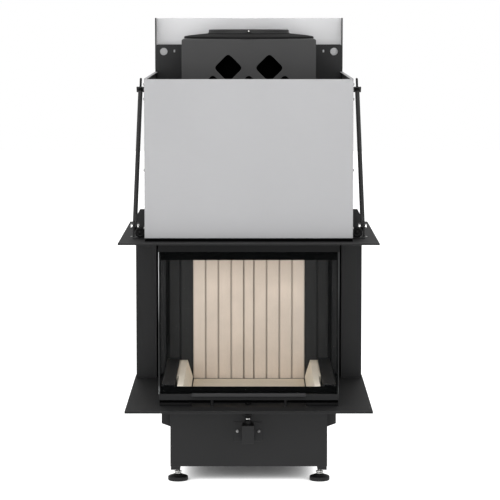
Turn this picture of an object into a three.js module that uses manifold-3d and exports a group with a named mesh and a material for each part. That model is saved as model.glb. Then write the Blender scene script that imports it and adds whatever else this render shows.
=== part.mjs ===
// A fireplace insert whose three-sided glass door lifts straight up into a sheet housing.
// Millimetres: +X to the right seen from the front, +Y to the rear, +Z up.
// The origin is on the floor, under the middle of the outline.
import * as THREE from "three";
import { mergeVertices } from "three/addons/utils/BufferGeometryUtils.js";
import Module from "manifold-3d";

const wasm = await Module();
wasm.setup();

// ---- Driving dimensions ------------------------------------------------------------------

const GAP = 0.3; // clearance between pieces that touch
const STEEL = 3; // welded body sheet
const CASING = 2; // folded casing sheet

// Heights
const PEDESTAL_BOTTOM = 39.6;
const PLATE_TOP = 199.7; // lower frame plate, level with the hearth floor
const LOWER_PLATE = 5;
const DOOR_BOTTOM = 215.8;
const DOOR_TOP = 628;
const UPPER_PLATE_TOP = 608.3;
const UPPER_PLATE = 4;
const HOUSING_BOTTOM = 616.3;
const HOUSING_TOP = 999;
const REAR_PLATE_TOP = 1073;
const CASING_TOP = 1091;
const COLLAR_TOP = 1113.7;
const OVERALL_HEIGHT = 1143.5;

// Depths, and half widths from the middle plane
const FRONT = -375;
const BACK = 375;
const UPPER_PLATE_HALF = 313.5;
const LOWER_PLATE_HALF = 300;
const LOWER_PLATE_FRONT = -361;
const FRAME_BACK = 236; // rear edge of both plates beside the rear bay
const HOUSING_FRONT = -326;
const HOUSING_HALF = 251;
const DOOR_FRONT = -287;
const DOOR_HALF = 220;
const DOOR_REAR = 152;
const PEDESTAL_FRONT = -224;
const PEDESTAL_REAR = 330;
const PEDESTAL_HALF = 194;
const STEP_HALF = 216; // wider top of the pedestal's sides
const CASING_FRONT = 6;
const CASING_REAR = 335.6;
const CASING_HALF = 170;
const REAR_PLATE_FRONT = 336;

// Hearth
const HEARTH_HALF = 146; // the fireclay back wall
const WALL_FRONT = 167;
const WALL_REAR = 200.5;
const LINING_FRONT = -272; // front ends of the side stones and ledges
const LEDGE_TOP = 253;
const STONE_TOP = 249;
const WALL_TOP = 562;
const FIREBOX_TOP = 600;

// Lifting gear: chain plane, its two runs, and the wheel that carries it
const CHAIN_X = 225;
const WHEEL_RADIUS = 60;
const FRONT_RUN_Y = 191;
const REAR_RUN_Y = FRONT_RUN_Y + 2 * WHEEL_RADIUS;
const WHEEL_Y = FRONT_RUN_Y + WHEEL_RADIUS;
const WHEEL_Z = 915;
const GUIDE_Z = 262; // centre of the fixed lower chain guide
const CHAIN_RADIUS = 2;
const WEIGHT_BOTTOM = 692; // clears the chain guide at the end of its travel
const WEIGHT_TOP = 844;

// Flue
const FLUE_Y = 172;
const DRUM_RADIUS = 160;
const LID_RADIUS = 168;
const COLLAR_RADIUS = 104;
const FLUE_RADIUS = 98.5;

// Air control
const CONTROL_X = -2;
const CONTROL_Y = -258;
const FLAP_Z = 125;
const INLET_Z = 117;
const INLET_RADIUS = 62;

// Levelling feet and side stays
const FOOT_X = 176;
const FOOT_FRONT_Y = -194;
const FOOT_REAR_Y = 300;
const STAY_X = 279.4;
const STAY_PIVOT = { y: -219, z: 636 };
const STAY_RISE = { y: 340, z: 354 }; // direction of the stay, rearwards and up

// ---- Materials ---------------------------------------------------------------------------

function finish(color, roughness, metalness, opacity = 1) {
  return new THREE.MeshStandardMaterial({
    color,
    roughness,
    metalness,
    opacity,
    transparent: opacity < 1,
  });
}

const BODY_STEEL = finish(0x343537, 0.6, 0.4);
const PLATE_STEEL = finish(0x424345, 0.55, 0.4);
const CASING_STEEL = finish(0x4c4c4d, 0.6, 0.4);
const GALVANISED = finish(0xc2c3c4, 0.45, 0.7);
const ZINC = finish(0xb9babb, 0.35, 0.9);
const FIRECLAY = finish(0xcbbda9, 0.9, 0);
const VERMICULITE = finish(0xb8a98c, 0.95, 0);
const CAST_IRON = finish(0x2c2d2e, 0.7, 0.5);
const DOOR_STEEL = finish(0x26272a, 0.5, 0.5);
const GLASS = finish(0xdfe6e6, 0.05, 0, 0.25);
const RUBBER = finish(0x1b1b1c, 0.8, 0);

// ---- Drawing and joining helpers ---------------------------------------------------------

/** An outline from a list of corners. */
function outline(corners) {
  return new THREE.Shape(corners.map(([u, v]) => new THREE.Vector2(u, v)));
}

function rectangle(u0, u1, v0, v1) {
  return outline([[u0, v0], [u1, v0], [u1, v1], [u0, v1]]);
}

/** Cuts a hole with the given corners in an outline. */
function pierce(shape, corners) {
  shape.holes.push(new THREE.Path(corners.map(([u, v]) => new THREE.Vector2(u, v))));
  return shape;
}

/** Corners of a regular polygon that stands for a circle. */
function circle(u, v, radius, sides = 24) {
  return Array.from({ length: sides }, (_, i) => {
    const angle = (2 * Math.PI * i) / sides;
    return [u + radius * Math.cos(angle), v + radius * Math.sin(angle)];
  });
}

/** Cuts a round hole in an outline. */
function drill(shape, u, v, radius, sides = 16) {
  return pierce(shape, circle(u, v, radius, sides));
}

/** Extrudes an outline drawn in plane XY, XZ or YZ between two places on the third axis. */
function extrude(shape, plane, from, to) {
  const solid = new THREE.ExtrudeGeometry(shape, {
    depth: to - from,
    bevelEnabled: false,
    curveSegments: 6,
  });
  if (plane === "XZ") return solid.rotateX(Math.PI / 2).translate(0, to, 0);
  if (plane === "YZ") {
    const turn = new THREE.Matrix4().makeBasis(
      new THREE.Vector3(0, 1, 0),
      new THREE.Vector3(0, 0, 1),
      new THREE.Vector3(1, 0, 0),
    );
    return solid.applyMatrix4(turn).translate(from, 0, 0);
  }
  return solid.translate(0, 0, from);
}

function block([x0, x1], [y0, y1], [z0, z1]) {
  const solid = new THREE.BoxGeometry(x1 - x0, y1 - y0, z1 - z0);
  return solid.translate((x0 + x1) / 2, (y0 + y1) / 2, (z0 + z1) / 2);
}

/** The stretch from inner to outer on the right (side = 1) or its mirror image (side = -1). */
function span(side, inner, outer) {
  return side > 0 ? [inner, outer] : [-outer, -inner];
}

/** A round bar, or a hexagonal one with sides = 6, along an axis through the given point. */
function bar(axis, [u, v], radius, from, to, sides = 16) {
  const solid = new THREE.CylinderGeometry(radius, radius, to - from, sides);
  const middle = (from + to) / 2;
  if (axis === "X") return solid.rotateZ(-Math.PI / 2).translate(middle, u, v);
  if (axis === "Y") return solid.translate(u, middle, v);
  return solid.rotateX(Math.PI / 2).translate(u, v, middle);
}

/** A turned solid about a vertical axis, from its [radius, height] profile. */
function turned(profile, sides) {
  const points = profile.map(([radius, height]) => new THREE.Vector2(radius, height));
  return new THREE.LatheGeometry(points, sides).rotateX(Math.PI / 2);
}

function toManifold(geometry) {
  const bare = geometry.clone();
  bare.deleteAttribute("normal");
  bare.deleteAttribute("uv");
  const merged = mergeVertices(bare, 1e-4);
  return new wasm.Manifold(
    new wasm.Mesh({
      numProp: 3,
      vertProperties: merged.attributes.position.array,
      triVerts: new Uint32Array(merged.index.array),
    }),
  );
}

function toGeometry(solid) {
  const { vertProperties, triVerts } = solid.getMesh();
  return new THREE.BufferGeometry()
    .setAttribute("position", new THREE.BufferAttribute(vertProperties, 3))
    .setIndex(new THREE.BufferAttribute(triVerts, 1));
}

function join(...geometries) {
  return toGeometry(geometries.map(toManifold).reduce((whole, next) => whole.add(next)));
}

function cut(geometry, ...tools) {
  const whole = toManifold(geometry);
  return toGeometry(tools.map(toManifold).reduce((rest, tool) => rest.subtract(tool), whole));
}

/** A closed ring-like skin through successive rings of points; the last joins the first. */
function skin(rings) {
  const sides = rings[0].length;
  const corner = (ring, side) => (ring % rings.length) * sides + (side % sides);
  const index = [];
  rings.forEach((_, ring) => {
    for (let side = 0; side < sides; side++) {
      const a = corner(ring, side);
      const b = corner(ring, side + 1);
      const c = corner(ring + 1, side + 1);
      const d = corner(ring + 1, side);
      index.push(a, b, c, a, c, d);
    }
  });
  const points = rings.flat();
  return new THREE.BufferGeometry().setFromPoints(points).setIndex(index);
}

// ---- The scene graph ---------------------------------------------------------------------

const insert = new THREE.Group();

function add(name, geometry, material) {
  const mesh = new THREE.Mesh(geometry, material);
  mesh.name = name;
  insert.add(mesh);
  return mesh;
}

/** Adds a right-hand piece and its mirror image on the left. */
function addPair(name, geometry, material) {
  add(`${name}_right`, geometry, material);
  add(`${name}_left`, geometry, material).scale.x = -1;
}

// ---- Pedestal ----------------------------------------------------------------------------

function addFeet() {
  const pad = [[0, 0], [24, 0], [25, 3], [25, 7], [21, 12], [13, 15.5], [6, 16.5]];
  const neckAndSpindle = [[6, 74], [5, 75], [0, 75]];
  const foot = join(
    turned([...pad, ...neckAndSpindle], 20),
    bar("Z", [0, 0], 11, 17.5, 24.5, 6),
  );
  for (const [end, y] of [["front", FOOT_FRONT_Y], ["rear", FOOT_REAR_Y]]) {
    for (const [side, x] of [["left", -FOOT_X], ["right", FOOT_X]]) {
      add(`levelling_foot_${end}_${side}`, foot, RUBBER).position.set(x, y, 0);
    }
  }
}

function addPedestal() {
  const feet = [-FOOT_X, FOOT_X].flatMap((x) => [[x, FOOT_FRONT_Y], [x, FOOT_REAR_Y]]);
  const inner = PEDESTAL_HALF - STEEL - GAP;
  const innerFront = PEDESTAL_FRONT + STEEL + GAP;
  const innerRear = PEDESTAL_REAR - STEEL - GAP;
  const rail = { inner: 170, outer: 193, height: 9, setback: 1 };
  const railZ = [PEDESTAL_BOTTOM - rail.height, PEDESTAL_BOTTOM - GAP];
  const railY = [PEDESTAL_FRONT + rail.setback, PEDESTAL_REAR - rail.setback];
  const base = join(
    block([-inner, inner], [innerFront, innerRear], [PEDESTAL_BOTTOM, PEDESTAL_BOTTOM + STEEL]),
    ...[-1, 1].flatMap((side) => [
      block(span(side, rail.inner, rail.outer), railY, railZ),
      block(span(side, rail.inner, inner), [innerFront, innerRear], [railZ[0], PEDESTAL_BOTTOM + 1]),
    ]),
  );
  const spindleHoles = feet.map((at) => bar("Z", at, 6.8, 20, 60, 12));
  add("pedestal_base", cut(base, ...spindleHoles), BODY_STEEL);

  const top = PLATE_TOP - LOWER_PLATE - GAP;
  const front = extrude(
    drill(rectangle(-PEDESTAL_HALF, PEDESTAL_HALF, PEDESTAL_BOTTOM, top), CONTROL_X, FLAP_Z, 5),
    "XZ", PEDESTAL_FRONT, PEDESTAL_FRONT + STEEL,
  );
  const shelf = { half: 62, rear: -104, window: 34, windowRear: -111 };
  const shelfPlate = cut(
    block(
      [CONTROL_X - shelf.half, CONTROL_X + shelf.half],
      [PEDESTAL_FRONT + STEEL - 1, shelf.rear],
      [FLAP_Z - 1.5, FLAP_Z + 1.5],
    ),
    block(
      [CONTROL_X - shelf.window, CONTROL_X + shelf.window],
      [PEDESTAL_FRONT - 5, shelf.windowRear],
      [FLAP_Z - 5, FLAP_Z + 5],
    ),
  );
  add("pedestal_front", join(front, shelfPlate), BODY_STEEL);

  // The side sheets step out under the frame plate.
  const stepBottom = 136.3;
  const stepKnee = 144.3;
  const side = extrude(
    outline([
      [PEDESTAL_HALF - STEEL, PEDESTAL_BOTTOM],
      [PEDESTAL_HALF, PEDESTAL_BOTTOM],
      [PEDESTAL_HALF, stepBottom],
      [STEP_HALF, stepKnee],
      [STEP_HALF, top],
      [STEP_HALF - STEEL, top],
      [STEP_HALF - STEEL, stepKnee + 2.1],
      [PEDESTAL_HALF - STEEL, stepBottom + 2.1],
    ]),
    "XZ", PEDESTAL_FRONT + STEEL + GAP, PEDESTAL_REAR,
  );
  const stepFront = extrude(
    outline([
      [PEDESTAL_HALF - 1, stepBottom + 1],
      [STEP_HALF - 1, stepKnee + 1],
      [STEP_HALF - 1, top],
      [PEDESTAL_HALF - 1, top],
    ]),
    "XZ", -206, -206 + STEEL,
  );
  const sideFront = block(
    [PEDESTAL_HALF - STEEL, PEDESTAL_HALF],
    [PEDESTAL_FRONT + STEEL + GAP, -206 + STEEL],
    [stepBottom, top],
  );
  const stepNose = block([PEDESTAL_HALF, STEP_HALF + 1], [PEDESTAL_FRONT - 1, -206], [100, top + 1]);
  addPair("pedestal", join(cut(side, stepNose), stepFront, sideFront), BODY_STEEL);

  const back = drill(
    rectangle(-inner, inner, PEDESTAL_BOTTOM + STEEL + GAP, top), 0, INLET_Z, INLET_RADIUS - 2, 32,
  );
  add("pedestal_back", extrude(back, "XZ", PEDESTAL_REAR - STEEL, PEDESTAL_REAR), BODY_STEEL);
}

function addAirInlet() {
  const sides = 32;
  const ring = (radius) => drill(
    outline(circle(0, INLET_Z, radius, sides)), 0, INLET_Z, INLET_RADIUS - 2, sides,
  );
  const rear = PEDESTAL_REAR + GAP;
  const spigot = extrude(ring(INLET_RADIUS), "XZ", rear, BACK - 3);
  const flange = extrude(ring(INLET_RADIUS + 12), "XZ", rear, rear + CASING);
  add("air_inlet_spigot", join(spigot, flange), GALVANISED);
}

function addAirControl() {
  const width = 29;
  const front = CONTROL_Y - 12;
  const rear = PEDESTAL_FRONT - GAP;
  const boxX = [CONTROL_X - width / 2, CONTROL_X + width / 2];
  const bore = 5;
  const box = join(
    block(boxX, [front, rear], [104, 149]),
    block([CONTROL_X - 35, CONTROL_X + 35], [rear - CASING, rear], [102, 151]),
  );
  add("air_control_box", cut(
    box,
    bar("Z", [CONTROL_X, CONTROL_Y], bore, 118, 160),
    bar("Y", [CONTROL_X, FLAP_Z], bore, CONTROL_Y - 6, rear + 5),
  ), BODY_STEEL);

  const at = [CONTROL_X, CONTROL_Y];
  const spindle = 3.8;
  add("air_control_spindle", join(
    bar("Z", at, 7, PLATE_TOP + 0.6, PLATE_TOP + 7.5, 12),
    bar("Z", at, spindle, 131, PLATE_TOP + 1, 12),
    // Forks of the universal joint and its pin
    block([CONTROL_X - 11, CONTROL_X - 3], [CONTROL_Y - 6, CONTROL_Y + 6], [170, 186]),
    block([CONTROL_X + 3, CONTROL_X + 11], [CONTROL_Y - 6, CONTROL_Y + 6], [170, 186]),
    block([CONTROL_X - 6, CONTROL_X + 6], [CONTROL_Y - 5, CONTROL_Y + 5], [182, 189]),
    bar("X", [CONTROL_Y, 177], 2.5, CONTROL_X - 12, CONTROL_X + 12, 8),
    bar("Z", at, 6.5, 160, 168, 12),
  ), BODY_STEEL);

  const flapHalf = 31;
  add("air_flap", join(
    block([CONTROL_X - flapHalf, CONTROL_X + flapHalf], [-216, -114], [FLAP_Z - 1, FLAP_Z + 1]),
    bar("Y", [CONTROL_X, FLAP_Z], 4, CONTROL_Y + 10, -113, 12),
  ), ZINC);
}

// ---- Frame: plates, columns and hearth ---------------------------------------------------

const TRAY_HALF = 149.5;
const TRAY_FRONT = PEDESTAL_FRONT + STEEL + 2;

function addLowerPlate() {
  const plate = outline([
    [-LOWER_PLATE_HALF, LOWER_PLATE_FRONT],
    [LOWER_PLATE_HALF, LOWER_PLATE_FRONT],
    [LOWER_PLATE_HALF, FRAME_BACK],
    [HOUSING_HALF, FRAME_BACK],
    [HOUSING_HALF, BACK],
    [-HOUSING_HALF, BACK],
    [-HOUSING_HALF, FRAME_BACK],
    [-LOWER_PLATE_HALF, FRAME_BACK],
  ]);
  const cutHalf = TRAY_HALF + GAP;
  pierce(plate, [
    [-cutHalf, TRAY_FRONT - GAP],
    [-cutHalf, WALL_FRONT],
    [cutHalf, WALL_FRONT],
    [cutHalf, TRAY_FRONT - GAP],
  ]);
  drill(plate, CONTROL_X, CONTROL_Y, 4.8);

  const ledge = pierce(rectangle(181.5, 212.5, PLATE_TOP - 1, LEDGE_TOP), [
    [184.5, PLATE_TOP],
    [184.5, LEDGE_TOP - STEEL],
    [209.5, LEDGE_TOP - STEEL],
    [209.5, PLATE_TOP],
  ]);
  const rightLedge = extrude(ledge, "XZ", LINING_FRONT, WALL_FRONT - 0.5);
  const leftLedge = rightLedge.clone().translate(-212.5 - 181.5, 0, 0);
  const lip = block([-146.8, 146.8], [TRAY_FRONT - 4.5, TRAY_FRONT - 1.5], [PLATE_TOP - 1, 222]);
  const buffers = [-90, 90].map((x) => bar("Z", [x, -281], 4, PLATE_TOP - 1, DOOR_BOTTOM - GAP, 12));
  add("lower_frame_plate", join(
    extrude(plate, "XY", PLATE_TOP - LOWER_PLATE, PLATE_TOP),
    rightLedge,
    leftLedge,
    lip,
    ...buffers,
  ), PLATE_STEEL);
}

function addUpperPlate() {
  const cutHalf = 240;
  const cutFront = -300;
  const plate = outline([
    [-UPPER_PLATE_HALF, FRONT],
    [UPPER_PLATE_HALF, FRONT],
    [UPPER_PLATE_HALF, FRAME_BACK],
    [cutHalf, FRAME_BACK],
    [cutHalf, cutFront],
    [-cutHalf, cutFront],
    [-cutHalf, FRAME_BACK],
    [-UPPER_PLATE_HALF, FRAME_BACK],
  ]);
  const bottom = UPPER_PLATE_TOP - UPPER_PLATE;
  add("upper_frame_plate", extrude(plate, "XY", bottom, UPPER_PLATE_TOP), PLATE_STEEL);

  // Folded columns between the plates, open to the rear
  const x0 = 242.5;
  const x1 = 296;
  const y0 = 176;
  const y1 = 232;
  const column = outline([
    [x0, y0], [x1, y0], [x1, y1], [x1 - STEEL, y1],
    [x1 - STEEL, y0 + STEEL], [x0 + STEEL, y0 + STEEL], [x0 + STEEL, y1], [x0, y1],
  ]);
  addPair("column", extrude(column, "XY", PLATE_TOP + GAP, bottom - GAP), BODY_STEEL);
}

function addHearth() {
  const trayBottom = 166.7;
  const floorBottom = trayBottom + STEEL + GAP;
  const trayRear = WALL_FRONT - GAP;
  add("hearth_tray", cut(
    block([-TRAY_HALF, TRAY_HALF], [TRAY_FRONT, trayRear], [trayBottom, PLATE_TOP - GAP]),
    block(
      [-TRAY_HALF + STEEL, TRAY_HALF - STEEL],
      [TRAY_FRONT + STEEL, trayRear - STEEL],
      [trayBottom + STEEL, PLATE_TOP + 5],
    ),
  ), BODY_STEEL);
  const floorHalf = 144.5;
  add("hearth_floor_stone", block(
    [-floorHalf, floorHalf],
    [TRAY_FRONT + STEEL + 0.5, trayRear - STEEL - 0.5],
    [floorBottom, PLATE_TOP],
  ), FIRECLAY);

  // Side stones lean away from the fire; their outer face steps in towards the front.
  const section = outline([
    [147.3, PLATE_TOP + GAP],
    [181.2, PLATE_TOP + GAP],
    [181.2, STONE_TOP],
    [160.8, STONE_TOP],
    [147.3, PLATE_TOP + 6],
  ]);
  const stone = cut(
    extrude(section, "XZ", LINING_FRONT, WALL_FRONT - GAP),
    block([175.3, 190], [LINING_FRONT - 5, -114], [PLATE_TOP - 5, STONE_TOP + 5]),
  );
  addPair("side_stone", stone, FIRECLAY);
}

function addBackWall() {
  // Each stone's fire face has sunk joints a strip apart; the middle stone is a narrow key.
  const keyHalf = 13.2;
  const strip = 33.3;
  const groove = 1.3;
  const depth = 4;
  const seam = 0.2;
  const wallBottom = PLATE_TOP + GAP;
  const key = outline([
    [-keyHalf + seam, WALL_FRONT + depth], [-keyHalf + groove, WALL_FRONT],
    [keyHalf - groove, WALL_FRONT], [keyHalf - seam, WALL_FRONT + depth],
    [keyHalf - seam, WALL_REAR], [-keyHalf + seam, WALL_REAR],
  ]);
  add("back_stone_centre", extrude(key, "XY", wallBottom, WALL_TOP), FIRECLAY);

  const face = [[keyHalf + seam, WALL_FRONT + depth], [keyHalf + groove, WALL_FRONT]];
  for (const count of [1, 2, 3]) {
    const x = keyHalf + count * strip;
    face.push([x - groove, WALL_FRONT], [x, WALL_FRONT + depth], [x + groove, WALL_FRONT]);
  }
  const stone = outline([
    ...face, [HEARTH_HALF, WALL_FRONT], [HEARTH_HALF, WALL_REAR], [keyHalf + seam, WALL_REAR],
  ]);
  addPair("back_stone", extrude(stone, "XY", wallBottom, WALL_TOP), FIRECLAY);

  // Dark folded linings beside the stones, with a sunk groove
  const lining = outline([
    [147, WALL_FRONT], [177, WALL_FRONT], [177, 173], [182, 173],
    [182, WALL_FRONT], [207.5, WALL_FRONT], [207.5, 176], [147, 176],
  ]);
  addPair("rear_lining", extrude(lining, "XY", wallBottom, FIREBOX_TOP - 3.5), CAST_IRON);

  // Welded firebox back, notched for the lower bend of each chain
  const backHalf = 240;
  const notch = { inner: 219, outer: 231, top: 300 };
  const y0 = WALL_REAR + GAP;
  const bottom = PLATE_TOP + GAP;
  const back = outline([
    [-backHalf, bottom], [-notch.outer, bottom], [-notch.outer, notch.top],
    [-notch.inner, notch.top], [-notch.inner, bottom],
    [notch.inner, bottom], [notch.inner, notch.top],
    [notch.outer, notch.top], [notch.outer, bottom], [backHalf, bottom],
    [backHalf, FIREBOX_TOP], [-backHalf, FIREBOX_TOP],
  ]);
  add("firebox_back_plate", extrude(back, "XZ", y0, y0 + STEEL), BODY_STEEL);
}

const THROAT = { half: 136, front: 18, rear: 186 };

function addFireboxTop() {
  const half = 204;
  const baffleFront = -140;
  const plate = pierce(rectangle(-half, half, -270, WALL_REAR), [
    [-THROAT.half, THROAT.front],
    [-THROAT.half, THROAT.rear],
    [THROAT.half, THROAT.rear],
    [THROAT.half, THROAT.front],
  ]);
  const hangers = [-1, 1].map((side) => block(
    span(side, 190, 200), [-60, -48], [WALL_TOP - 15, FIREBOX_TOP - 2],
  ));
  add("firebox_top_plate", join(
    extrude(plate, "XY", FIREBOX_TOP - STEEL, FIREBOX_TOP),
    ...hangers,
    block([-200, 200], [-60, -48], [WALL_TOP - 15, WALL_TOP]),
  ), BODY_STEEL);
  add("baffle_plate", block(
    [-145.5, 145.5], [baffleFront, 198], [WALL_TOP + GAP, WALL_TOP + 20],
  ), VERMICULITE);
}

// ---- Flue: smoke dome, collar and casing -------------------------------------------------

function addDome() {
  const sides = 36;
  const ring = (radius, z) => Array.from({ length: sides }, (_, i) => {
    const angle = (2 * Math.PI * i) / sides;
    return new THREE.Vector3(radius * Math.cos(angle), FLUE_Y + radius * Math.sin(angle), z);
  });
  // The hood's mouth is a rectangle; its points lie where rays from its middle meet it.
  const mouth = (grow, z) => Array.from({ length: sides }, (_, i) => {
    const angle = (2 * Math.PI * i) / sides;
    const halfX = THROAT.half + grow;
    const halfY = (THROAT.rear - THROAT.front) / 2 + grow;
    const reach = Math.min(
      halfX / Math.max(Math.abs(Math.cos(angle)), 1e-9),
      halfY / Math.max(Math.abs(Math.sin(angle)), 1e-9),
    );
    const middle = (THROAT.rear + THROAT.front) / 2;
    return new THREE.Vector3(reach * Math.cos(angle), middle + reach * Math.sin(angle), z);
  });
  const foot = FIREBOX_TOP + GAP;
  const inner = DRUM_RADIUS - STEEL;
  const lidTop = COLLAR_TOP - 9.4 - GAP;
  add("smoke_dome", skin([
    mouth(4, foot),
    ring(DRUM_RADIUS, 740),
    ring(DRUM_RADIUS, CASING_TOP + 0.5),
    ring(LID_RADIUS, CASING_TOP + 0.5),
    ring(LID_RADIUS, CASING_TOP + 4),
    ring(LID_RADIUS - 6, CASING_TOP + 7),
    ring(COLLAR_RADIUS + 4, lidTop),
    ring(FLUE_RADIUS, lidTop),
    ring(FLUE_RADIUS, lidTop - STEEL),
    ring(inner, CASING_TOP + 2),
    ring(inner, 741),
    mouth(1, foot),
  ]), CASING_STEEL);

  add("flue_collar", turned([
    [FLUE_RADIUS, lidTop + GAP],
    [COLLAR_RADIUS + 2, lidTop + GAP],
    [COLLAR_RADIUS + 2, lidTop + GAP + 1.5],
    [COLLAR_RADIUS, lidTop + GAP + 1.5],
    [COLLAR_RADIUS, COLLAR_TOP - 1.5],
    [COLLAR_RADIUS - 1.5, COLLAR_TOP],
    [FLUE_RADIUS, COLLAR_TOP],
    [FLUE_RADIUS, lidTop + GAP],
  ], sides), CASING_STEEL).position.y = FLUE_Y;
}

/** Corners of a square hole that stands on its corner and has rounded corners. */
function diamond(u, v, half, rounding = 7, steps = 3) {
  const tips = [[half, 0], [0, half], [-half, 0], [0, -half]];
  return tips.flatMap(([x, y], i) => {
    const share = rounding / half;
    const [px, py] = tips[(i + 3) % 4];
    const [nx, ny] = tips[(i + 1) % 4];
    const bend = new THREE.QuadraticBezierCurve(
      new THREE.Vector2(u + x + (px - x) * share, v + y + (py - y) * share),
      new THREE.Vector2(u + x, v + y),
      new THREE.Vector2(u + x + (nx - x) * share, v + y + (ny - y) * share),
    );
    return bend.getPoints(steps).map((point) => [point.x, point.y]);
  });
}

function addCasing() {
  const bottom = FIREBOX_TOP + GAP;
  const front = outline([
    [-CASING_HALF, bottom], [CASING_HALF, bottom], [CASING_HALF, CASING_TOP - 3],
    [CASING_HALF - 3, CASING_TOP], [-CASING_HALF + 3, CASING_TOP], [-CASING_HALF, CASING_TOP - 3],
  ]);
  const half = 36.5;
  const rows = [
    { z: 1018, at: [-52, 52] },
    { z: 965, at: [-91, 0, 91] },
    { z: 912, at: [-52, 52] },
  ];
  for (const { z, at } of rows) {
    for (const x of at) pierce(front, diamond(x, z, half));
  }
  add("casing_front", extrude(front, "XZ", CASING_FRONT, CASING_FRONT + CASING), CASING_STEEL);

  const wrap = outline([
    [-CASING_HALF, bottom], [-CASING_HALF + CASING, bottom],
    [-CASING_HALF + CASING, CASING_TOP - CASING], [CASING_HALF - CASING, CASING_TOP - CASING],
    [CASING_HALF - CASING, bottom], [CASING_HALF, bottom],
    [CASING_HALF, CASING_TOP - 3], [CASING_HALF - 3, CASING_TOP],
    [-CASING_HALF + 3, CASING_TOP], [-CASING_HALF, CASING_TOP - 3],
  ]);
  add("casing_wrap", cut(
    extrude(wrap, "XZ", CASING_FRONT + CASING + GAP, CASING_REAR),
    bar("Z", [0, FLUE_Y], DRUM_RADIUS + 1.5, CASING_TOP - 20, CASING_TOP + 20, 36),
  ), CASING_STEEL);
}

// ---- Rear frame and housing --------------------------------------------------------------

const RAIL_OUTER = 250;
const RAIL_INNER = 247.5;

function addRearFrame() {
  const bottom = PLATE_TOP + GAP;
  const notch = { z0: 1000, z1: 1008, depth: 6 };
  const rail = outline([
    [REAR_PLATE_FRONT, bottom],
    [BACK, bottom],
    [BACK, OVERALL_HEIGHT],
    [REAR_PLATE_FRONT, OVERALL_HEIGHT],
    [REAR_PLATE_FRONT, notch.z1],
    [REAR_PLATE_FRONT + notch.depth, notch.z1],
    [REAR_PLATE_FRONT + notch.depth, notch.z0],
    [REAR_PLATE_FRONT, notch.z0],
  ]);
  addPair("rear_rail", extrude(rail, "YZ", RAIL_INNER, RAIL_OUTER), BODY_STEEL);

  const half = RAIL_INNER - GAP;
  const sheet = rectangle(-half, half, bottom, OVERALL_HEIGHT - 0.5);
  add("rear_sheet", extrude(sheet, "XZ", BACK - CASING, BACK), GALVANISED);

  const corner = 6;
  const plate = new THREE.Shape()
    .moveTo(-half, 860)
    .lineTo(half, 860)
    .lineTo(half, REAR_PLATE_TOP - corner)
    .quadraticCurveTo(half, REAR_PLATE_TOP, half - corner, REAR_PLATE_TOP)
    .lineTo(-half + corner, REAR_PLATE_TOP)
    .quadraticCurveTo(-half, REAR_PLATE_TOP, -half, REAR_PLATE_TOP - corner);
  const hole = { x: 227, z: 1054.2, radius: 10 };
  const slot = { x: 198.7, z: 1055.6, halfWidth: 2, halfHeight: 3.3 };
  const cutters = [-1, 1].flatMap((side) => [
    bar("Y", [side * hole.x, hole.z], hole.radius, 330, 345, 24),
    block(
      [side * slot.x - slot.halfWidth, side * slot.x + slot.halfWidth],
      [330, 345],
      [slot.z - slot.halfHeight, slot.z + slot.halfHeight],
    ),
  ]);
  const blank = extrude(plate, "XZ", REAR_PLATE_FRONT, REAR_PLATE_FRONT + CASING);
  add("rear_plate", cut(blank, ...cutters), BODY_STEEL);
}

/** Puts a piece drawn along +Z from the origin onto the stay's line, at its pivot. */
function alongStay(geometry) {
  const lean = Math.atan2(STAY_RISE.y, STAY_RISE.z);
  return geometry.rotateX(-lean).translate(STAY_X, STAY_PIVOT.y, STAY_PIVOT.z);
}

const LUG = { from: 448.9, to: 452.5, half: 9 };

function addHousing() {
  const chamfer = 3;
  const front = outline([
    [-HOUSING_HALF, HOUSING_BOTTOM], [HOUSING_HALF, HOUSING_BOTTOM],
    [HOUSING_HALF, HOUSING_TOP - chamfer], [HOUSING_HALF - chamfer, HOUSING_TOP],
    [-HOUSING_HALF + chamfer, HOUSING_TOP], [-HOUSING_HALF, HOUSING_TOP - chamfer],
  ]);
  const rearOfFront = HOUSING_FRONT + CASING;
  add("housing_front", extrude(front, "XZ", HOUSING_FRONT, rearOfFront), GALVANISED);

  // Each side stands on the upper plate and runs down behind it to close the weight shaft.
  const bottom = UPPER_PLATE_TOP + GAP;
  const shaftFront = FRAME_BACK + 0.6;
  const rear = REAR_PLATE_FRONT - GAP;
  const side = outline([
    [rearOfFront + GAP, bottom], [shaftFront, bottom], [shaftFront, PLATE_TOP + GAP],
    [rear, PLATE_TOP + GAP], [rear, HOUSING_TOP], [rearOfFront + GAP, HOUSING_TOP],
  ]);
  const inner = HOUSING_HALF - CASING;
  const lug = alongStay(block(
    [HOUSING_HALF - 1 - STAY_X, 9], [-LUG.half, LUG.half], [LUG.from, LUG.to],
  ));
  const lugHole = alongStay(bar("Z", [0, 0], 3.5, LUG.from - 5, LUG.to + 5, 12));
  const sheet = cut(join(extrude(side, "YZ", inner, HOUSING_HALF), lug), lugHole);
  const axle = bar("X", [WHEEL_Y, WHEEL_Z], 5, 214, inner + 1, 12);
  const guide = bar(
    "X", [WHEEL_Y, GUIDE_Z], WHEEL_RADIUS - CHAIN_RADIUS - 0.8, CHAIN_X - 4, CHAIN_X + 4, 24,
  );
  const guideStub = bar("X", [WHEEL_Y, GUIDE_Z], 9, CHAIN_X, inner + 1, 12);
  addPair("housing", join(sheet, axle, guide, guideStub), GALVANISED);
}

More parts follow.
